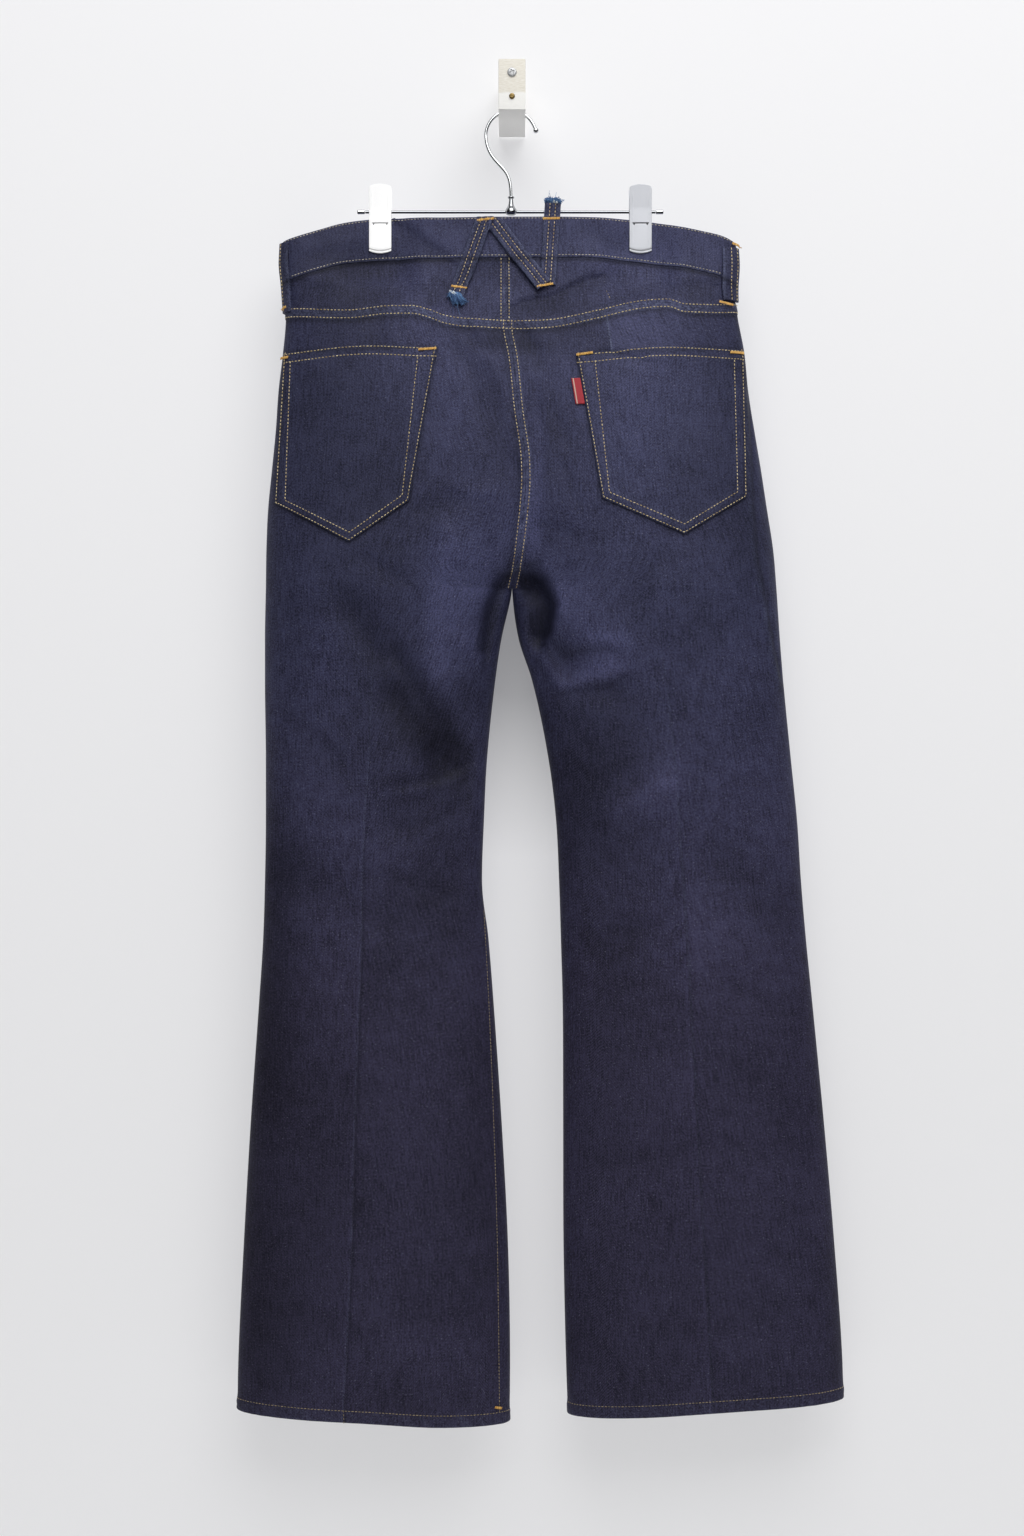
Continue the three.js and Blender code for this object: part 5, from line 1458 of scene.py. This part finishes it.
# Corners of a profile rounded by an arc of a few points
def rounded(profile, radius, steps=4):
    profile = np.asarray(profile, float)
    made = [profile[0]]
    for before, corner, after in zip(profile, profile[1:], profile[2:]):
        a, b = before - corner, after - corner
        reach = min(radius, np.linalg.norm(a) / 2.1, np.linalg.norm(b) / 2.1)
        start, end = corner + a / np.linalg.norm(a) * reach, corner + b / np.linalg.norm(b) * reach
        for t in np.linspace(0, 1, steps + 1):
            made.append((1 - t) ** 2 * start + 2 * t * (1 - t) * corner + t * t * end)
    return made + [profile[-1]]


def hardPiece(name, bodies, nodes, material, shades=None):
    points, faces, field, first = [], [], [], 0
    for i, (bodyPoints, bodyFaces) in enumerate(bodies):
        points.append(bodyPoints)
        faces += [[corner + first for corner in face] for face in bodyFaces]
        field.append(np.full(len(bodyPoints), shades[i] if shades is not None else 0.0))
        first += len(bodyPoints)
    mesh = bpy.data.meshes.new(name)
    mesh.from_pydata((np.concatenate(points) * 0.001).tolist(), [], faces)
    mesh.attributes.new("shade", "FLOAT", "POINT").data.foreach_set("value", np.concatenate(field))
    piece = meshPiece(name, mesh, material, 42)
    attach(piece, "root")
    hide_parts(*nodes)
    return piece


# Plated steel: bright, with faint wipe marks in its gloss. A plate given glare glows evenly, a painted glare
# that stands in for the lamps. Where the wear attribute is set its colour turns near black: painted shade.
def makeMetal(name, tint, roughness, uneven=0.08, metallic=1.0, glare=0.0):
    material, tree, shader = newMaterial(name, {
        "Metallic": metallic, "Emission Color": colour("#ffffff"), "Emission Strength": glare})
    place = addNode(tree, "ShaderNodeTexCoord").outputs["Object"]
    wiped = addNode(tree, "ShaderNodeMapping", {"Vector": place, "Scale": (1.0, 1.0, 0.25)})
    marks = addNode(tree, "ShaderNodeTexNoise", {"Vector": wiped, "Scale": 180.0, "Detail": 4.0})
    gloss = addNode(tree, "ShaderNodeMapRange", {
        "Value": marks, "From Min": 0.3, "From Max": 0.7,
        "To Min": roughness - uneven, "To Max": roughness + uneven})
    # Painted shade: near black where the wear attribute is set
    cut = addNode(tree, "ShaderNodeAttribute", attribute_name="wear")
    base = addNode(tree, "ShaderNodeMix", {
        0: cut.outputs["Fac"], 6: colour(tint), 7: colour("#1d1d1f")}, data_type="RGBA")
    tree.links.new(gloss.outputs[0], shader.inputs["Roughness"])
    tree.links.new(base.outputs[2], shader.inputs["Base Color"])
    return material


chrome = makeMetal("bright chrome plate", "#d6d8da", 0.07, 0.03)
# A darker copy of the chrome for the swivel and the bar: its darker tint is a painted reflection of the dark room
darkenedChrome = makeMetal("chrome plate darkened for painted reflection", "#a2a4a7", 0.1, 0.03)
satin = makeMetal("satin nickel plate", "#d9dbe1", 0.55, metallic=0.2)
# A lit copy of the satin plate for the left clip: white, and glowing with painted glare
glaringSatin = makeMetal("satin nickel plate, lit copy with painted glare", "#ffffff", 0.5, metallic=0.0, glare=0.16)
brass = makeMetal("dull brass plate", "#8f7a4e", 0.35)
# The zinc plate has a faint painted glare
zinc = makeMetal("zinc plate", "#c2c3c4", 0.45, metallic=0.7, glare=0.03)


# Centripetal spline through points
def splined(points, steps=7):
    points = np.asarray(points, float)
    points = np.concatenate([[2 * points[0] - points[1]], points, [2 * points[-1] - points[-2]]])
    made = []
    for p0, p1, p2, p3 in zip(points, points[1:], points[2:], points[3:]):
        t1 = np.linalg.norm(p1 - p0) ** 0.5
        t2 = t1 + np.linalg.norm(p2 - p1) ** 0.5
        t3 = t2 + np.linalg.norm(p3 - p2) ** 0.5
        for t in np.linspace(t1, t2, steps, endpoint=False):
            a1, a2 = mix(p0, p1, t / t1), mix(p1, p2, (t - t1) / (t2 - t1))
            a3 = mix(p2, p3, (t - t2) / (t3 - t2))
            b1, b2 = mix(a1, a2, t / t2), mix(a2, a3, (t - t1) / (t3 - t1))
            made.append(mix(b1, b2, (t - t1) / (t2 - t1)))
    return np.array(made + [points[-2]])


hanger = {
    "wire": 1.6,
    "bend": (-1, -37, 23, 12, 200),  # hook: X, height, radius, angles of its tip and its turn
    "ball": 2.6,
    "neck": ((-21.4, -53), (-14.6, -60.5), (-6.6, -67), (-2.4, -72.5), (-0.9, -80), (-0.9, -91.2)),
    "swivelX": -0.9,
    "bar": (-132, 129, -105.6, 1.5),  # both ends, height, radius
    "springReach": 6,
}


def addHanger():
    y = cloth["hangPlane"]
    x, z, radius, tip, turn = hanger["bend"]
    angle = np.radians(np.linspace(tip, turn, 17))
    points = [(x + radius * math.cos(a), y, z + radius * math.sin(a)) for a in angle]
    points += [(x, y, z) for x, z in hanger["neck"]]
    arc = np.radians(np.linspace(-90, 90, 13))
    half = [(hanger["ball"] * math.cos(a), hanger["ball"] * math.sin(a)) for a in arc]
    ball = lathe(half, points[0], (0, 0, 1), 24)
    path = splined(points)
    for turn in range(90):
        path[1:-1] += 0.5 * (0.5 * (path[:-2] + path[2:]) - path[1:-1])
    wire = tube(path, hanger["wire"], 20)
    hardPiece("chrome_hanger_hook", [wire, ball], ["hanger_hook"], chrome)

    bell = rounded([
        (0, -108.6), (3.2, -108.5), (5.2, -107), (5.4, -105.2), (4.7, -103.2), (3.2, -101), (2.3, -98.6),
        (1.9, -95), (1.9, -91.5), (0, -91.5)], 1.0)
    ring = rounded([(0, -93.4), (2.9, -93.4), (2.9, -91.9), (0, -91.9)], 0.5)
    middle = (hanger["swivelX"], y, 0)
    body = lathe(bell, middle, (0, 0, 1), 36)
    collar = lathe(ring, middle, (0, 0, 1), 32)
    # The swivel and the bar take the darker chrome: painted reflection
    hardPiece("chrome_hanger_swivel", [body, collar], ["hanger_swivel"], darkenedChrome)

    left, right, height, radius = hanger["bar"]
    rod = tube([(x, y, height) for x in np.linspace(left, right, 12)], radius, 20)
    hardPiece("chrome_hanger_bar", [rod], ["hanger_bar"], darkenedChrome)
    for name, end, way in (("left", left - 0.3, -1), ("right", right + 0.3, 1)):
        cap = lathe(rounded([(0, 0), (2.1, 0), (2.1, 7), (0, 7)], 0.9), (end, y, height), (way, 0, 0), 28)
        hardPiece(f"chrome_bar_end_{name}", [cap], [f"bar_end_{name}"], chrome)


addHanger()

jaw = {
    "width": 20,
    "top": -82,
    "bend": -103,
    "bottom": (-141.5, -143.1),  # back and front jaw
    "belly": 2.2,
    "sheet": 1.0,
    "flare": 1.5,
    "corner": 2.2,
    "face": 3.75,  # from the hanging plane to the jaw
    "slit": (7.2, -116.6, 0.4),  # half length, height, half width
    "arch": 1.5,  # of the upper edge
    "lip": 2.1,  # the rolled lower edge
    "rib": (7.3, 0.45),  # pressed lines: from the middle, width
}


def jawRelief(x, z):
    half, height, thick = jaw["slit"]
    slit = soft((half + 0.2 - np.abs(x)) / 0.4) * soft((thick + 0.25 - np.abs(z - height)) / 0.4)
    drop = height - z
    ends = soft((1.2 - drop * 0.42 - np.abs(np.abs(x) - half + 1.3)) / 0.4) * soft((drop + 0.3) / 0.3)
    place, width = jaw["rib"]
    rib = bump(np.abs(x) - place, width) * soft((z + 136) / 4) * soft((-88 - z) / 3)
    return 0.16 * rib, np.maximum(slit, ends)


def addJaw(side, face, material):
    middle = cloth["clips"][0 if side < 0 else 1]
    way = -1 if face == "back" else 1
    low = jaw["bottom"][0 if face == "back" else 1]
    half, corner = jaw["width"] / 2, jaw["corner"]
    marks = spread(half - 2.6, 0.55, 0.2, 0.3, growth=0.2) * (half - 2.6)
    rim = half - 2.6 + np.array([0.5, 1.0, 1.5, 1.9, 2.2, 2.42, 2.53, 2.6])
    across = np.concatenate([marks, rim]) / half
    across = np.concatenate([-across[::-1], across[1:]])
    down = np.concatenate([
        spread(26, 1.0, 0.12, 0.5) * 26, 26 + np.arange(1, 29) * 0.4,
        37.2 + spread(jaw["top"] - low - 37.2, 1.2, 0.4, 0.12)[1:] * (jaw["top"] - low - 37.2)])
    share, z = np.meshgrid(across, jaw["top"] - down)
    fromTop = jaw["top"] - z
    narrow = corner - np.sqrt(np.maximum(corner ** 2 - np.maximum(corner - fromTop, 0) ** 2, 0))
    x = share * (half - narrow)
    end = soft((low + 12 - z) / 12)
    z = z - jaw["belly"] * (1 - share ** 2) * end - jaw["arch"] * share ** 2 * soft(1 - fromTop / 16)
    fromLow = z - low + jaw["belly"] * (1 - share ** 2)
    edge = np.minimum(np.minimum(half - narrow - np.abs(x), fromTop), fromLow)
    lip = bump(fromLow - jaw["lip"], 0.38)
    rounding = 0.42 * roundedOff(edge, 0.5)
    flare = jaw["flare"] * np.maximum(0, z - jaw["bend"]) / (jaw["top"] - jaw["bend"])
    bow = 0.35 * (1 - (x / half) ** 2)
    reach = jaw["face"] + flare
    rib, slit = jawRelief(x, z)
    thick = jaw["sheet"] + bow - rounding + rib - 0.8 * slit - 0.4 * lip
    outer = np.stack([middle + x, cloth["hangPlane"] + way * (reach + thick), z], -1)
    inner = np.stack([middle + x, cloth["hangPlane"] + way * (reach + bow * 0.6), z], -1)
    name = f"clip_{sideName[side]}_{face}_jaw"
    # The slit and the groove above the lip are painted near black through the wear attribute: painted shade
    piece = clothPiece("nickel_" + name, outer, inner, np.maximum(slit, 0.95 * lip), material)[0]
    declare((piece, 0, 0, 0), [name])


def addSpring(side):
    middle = cloth["clips"][0 if side < 0 else 1]
    turn = np.linspace(0, 2 * math.pi * 6.5, 170)
    x = middle + np.linspace(-1, 1, len(turn)) * hanger["springReach"]
    y, z = cloth["hangPlane"], hanger["bar"][2]
    path = np.stack([x, y + 2.55 * np.sin(turn), z + 2.55 * np.cos(turn)], -1)
    name = f"clip_{sideName[side]}_spring"
    hardPiece("steel_" + name, [tube(path, 0.75, 10)], [name], chrome)


# The left clip's jaws take the lit copy of the plate, with its painted glare
for side, finish in ((-1, glaringSatin), (1, satin)):
    for face in ("back", "front"):
        addJaw(side, face, finish)
    addSpring(side)


# Button: a plain dished cap on a shank
def addButton():
    x = -5.0
    z = float(waistTop["front"](x)) - cloth["bandHeight"] / 2
    y = float(overCloth("front", -1, x, z, cloth["bandRaise"] + 0.9)[1])
    cap = rounded([(0, 0), (6.5, 0), (8.5, 0.9), (7.8, 2.4), (5.8, 1.8), (3, 1.7), (0, 1.9)], 0.7)
    body = lathe(cap, (x, y, z), (0, 1, 0), 48)
    hardPiece("chrome_waist_button", [body], ["waist_button"], zinc)


addButton()

# The wall block and its screws
block = {
    "width": 24,
    "depth": 86,
    "height": 45.2,
    "slot": (-57.6, -52.4, -20.1),  # near side, far side, floor
    "bevel": 0.9,
}


# Soft wood, thinly painted cream with its grain showing, whiter below a wavering line on its lower part.
def makePaintedWood():
    material, tree, shader = newMaterial("cream painted wood", {"Roughness": 0.6})
    place = addNode(tree, "ShaderNodeTexCoord").outputs["Object"]
    long = addNode(tree, "ShaderNodeMapping", {"Vector": place, "Scale": (260.0, 60.0, 1400.0)})
    grain = addNode(tree, "ShaderNodeTexNoise", {"Vector": long, "Scale": 1.0, "Detail": 4.0})
    worn = addNode(tree, "ShaderNodeTexNoise", {"Vector": place, "Scale": 160.0, "Detail": 4.0})
    height = addNode(tree, "ShaderNodeSeparateXYZ", {0: place}).outputs[2]
    height = addNode(tree, "ShaderNodeMath", {
        0: worn, 1: 0.004, 2: height}, operation="MULTIPLY_ADD")
    lower = addNode(tree, "ShaderNodeMapRange", {
        "Value": height, "From Min": -0.0044, "From Max": -0.0062, "To Min": 0.0, "To Max": 1.0})
    streak = addNode(tree, "ShaderNodeMapRange", {
        "Value": grain, "From Min": 0.35, "From Max": 0.7, "To Min": 0.0, "To Max": 1.0})
    cream = addNode(tree, "ShaderNodeMix", {
        0: streak, 6: colour("#f3efe5"), 7: colour("#e3ddcf")}, data_type="RGBA")
    paint = addNode(tree, "ShaderNodeMix", {
        0: lower, 6: cream.outputs[2], 7: colour("#faf9f5")}, data_type="RGBA")
    relief = addNode(tree, "ShaderNodeBump", {
        "Strength": 0.4, "Distance": 0.0004, "Height": grain})
    tree.links.new(paint.outputs[2], shader.inputs["Base Color"])
    tree.links.new(relief.outputs[0], shader.inputs["Normal"])
    return material


def addBlock():
    near, far, floor = block["slot"]
    high, deep, half = block["height"] / 2, -block["depth"], block["width"] / 2
    side = [
        (0, -high), (deep, -high), (deep, high), (near, high),
        (near, floor), (far, floor), (far, high), (0, high)]
    body = bmesh.new()
    left = [body.verts.new((-half * 0.001, y * 0.001, z * 0.001)) for y, z in side]
    right = [body.verts.new((half * 0.001, y * 0.001, z * 0.001)) for y, z in side]
    body.faces.new(left)
    body.faces.new(right[::-1])
    for i in range(len(side)):
        j = (i + 1) % len(side)
        body.faces.new((left[j], left[i], right[i], right[j]))
    bmesh.ops.recalc_face_normals(body, faces=body.faces)
    outside = [e for e in body.edges if max(v.co.y for v in e.verts) < -0.001]
    bevel = block["bevel"] * 0.001
    bmesh.ops.bevel(body, geom=outside, offset=bevel, segments=3, profile=0.6, affect="EDGES")
    mesh = bpy.data.meshes.new("wood_wall_block")
    body.to_mesh(mesh)
    body.free()
    piece = meshPiece("wood_wall_block", mesh, makePaintedWood(), 35)
    declare((piece, 0, 0, 0), ["wall_block"])


# Screw head: a low dome with a pressed cross
def addScrew(name, height, radius, material):
    ring = spread(radius, 0.16, 0.16, 0.08)[1:] * radius
    angle = np.arange(64) * 2 * math.pi / 64 + 0.4
    rings = []
    for r in ring[::-1]:
        x, z = r * np.cos(angle), r * np.sin(angle)
        cross = np.minimum(np.abs(x * 0.92 + z * 0.39), np.abs(z * 0.92 - x * 0.39))
        pit = soft((radius * 0.13 + 0.12 - cross) / 0.2) * soft((radius * 0.58 - r) / 0.5)
        high = 1.2 * math.sqrt(max(0, 1 - (r / radius) ** 4)) - 1.0 * pit
        rings.append(np.stack([x, -block["depth"] - 0.3 - high, height + z], -1))
    x, z = ring[-1] * np.cos(angle), height + ring[-1] * np.sin(angle)
    base = np.stack([x, np.full(64, -block["depth"] - 0.05), z], -1)
    body = skinned(np.array([base] + rings)[:, ::-1])
    hardPiece("screw_" + name, [body], [f"block_screw_{name}"], material)


addBlock()
addScrew("upper", 10.6, 4.2, zinc)
addScrew("lower", -10.6, 2.6, brass)
print("hanger, clips and block made")

# Frayed ends: short yarns in several layers out of a run's raw end, and a few long loose ones. Each yarn
# wavers in its own way, from one seeded source.
frays = {
    # root, direction of the yarns, turn, width, number, length, share of white yarns, where they gather,
    # drift
    "frayed_end_low": ((-50.2, -183.4), -1, -16, 11, 240, 12.5, 0.06, -3.2, 0.36),
    "frayed_end_high": ((36.75, -100), 1, -3.8, 14.5, 230, 6.6, 0.03, 2, 0.0),
}
chance = np.random.default_rng(2263)


# Frayed cotton yarn: blue where it is dyed, near white in the weft.
def makeYarn():
    material, tree, shader = newMaterial("frayed cotton yarn", {"Roughness": 0.85})
    shade = addNode(tree, "ShaderNodeAttribute", attribute_name="shade").outputs["Fac"]
    dyed = addNode(tree, "ShaderNodeMix", {
        0: shade, 6: colour("#1f3a66"), 7: colour("#6a91c0")}, data_type="RGBA")
    white = addNode(tree, "ShaderNodeMath", {0: shade, 1: 0.99}, operation="GREATER_THAN")
    both = addNode(tree, "ShaderNodeMix", {
        0: white, 6: dyed.outputs[2], 7: colour("#dfe6ea")}, data_type="RGBA")
    tree.links.new(both.outputs[2], shader.inputs["Base Color"])
    return material


def addFray(name, material):
    root, out, turn, width, number, reach, pale, gather, drift = frays[name]
    turn = math.radians(turn)
    yarns, shades = [], []
    for i in range(number):
        white = chance.random() < pale
        aside = chance.uniform(-0.5, 0.5) * width
        if white:
            aside = chance.normal(gather, 1.2)
        loose = i % 70 == 5
        length = reach * chance.uniform(0.5, 1.0) * (1 - 0.25 * abs(aside * 2 / width) ** 3)
        length *= 1 + 1.3 * loose
        if white:
            length *= 0.5
        lift = chance.uniform(3.0, 4.0) if white else chance.uniform(0.8, 3.4)
        t = np.linspace(0, 1, 7)
        sway = chance.normal(drift, 0.2, 2) * reach
        waver = chance.uniform(0.2, 0.9) * np.sin(t * chance.uniform(3, 8) + chance.uniform(0, 6))
        across = aside + sway[0] * t ** 2 + waver
        up = length * (t - chance.uniform(0, 0.45) * t ** 3)
        high = lift + chance.uniform(0.5, 2.2) * np.sin(t * 2.4) + 0.5 * np.sin(t * chance.uniform(3, 7))
        x = root[0] + across * math.cos(turn) - up * out * math.sin(turn)
        z = root[1] + across * math.sin(turn) + up * out * math.cos(turn)
        points = overCloth("back", np.where(x < centre["back"](z), -1, 1), x, np.minimum(z, -99), high)
        points[:, 2] += np.maximum(z + 99, 0)
        yarns.append(tube(points, np.linspace(0.34, 0.22, 7) * (0.55 if loose else 1), 5))
        shades.append(1.0 if white else chance.uniform(0, 0.95))
    hardPiece("yarn_" + name, yarns, [name], material, shades)


yarn = makeYarn()
for name in frays:
    addFray(name, yarn)
print("frayed ends made")
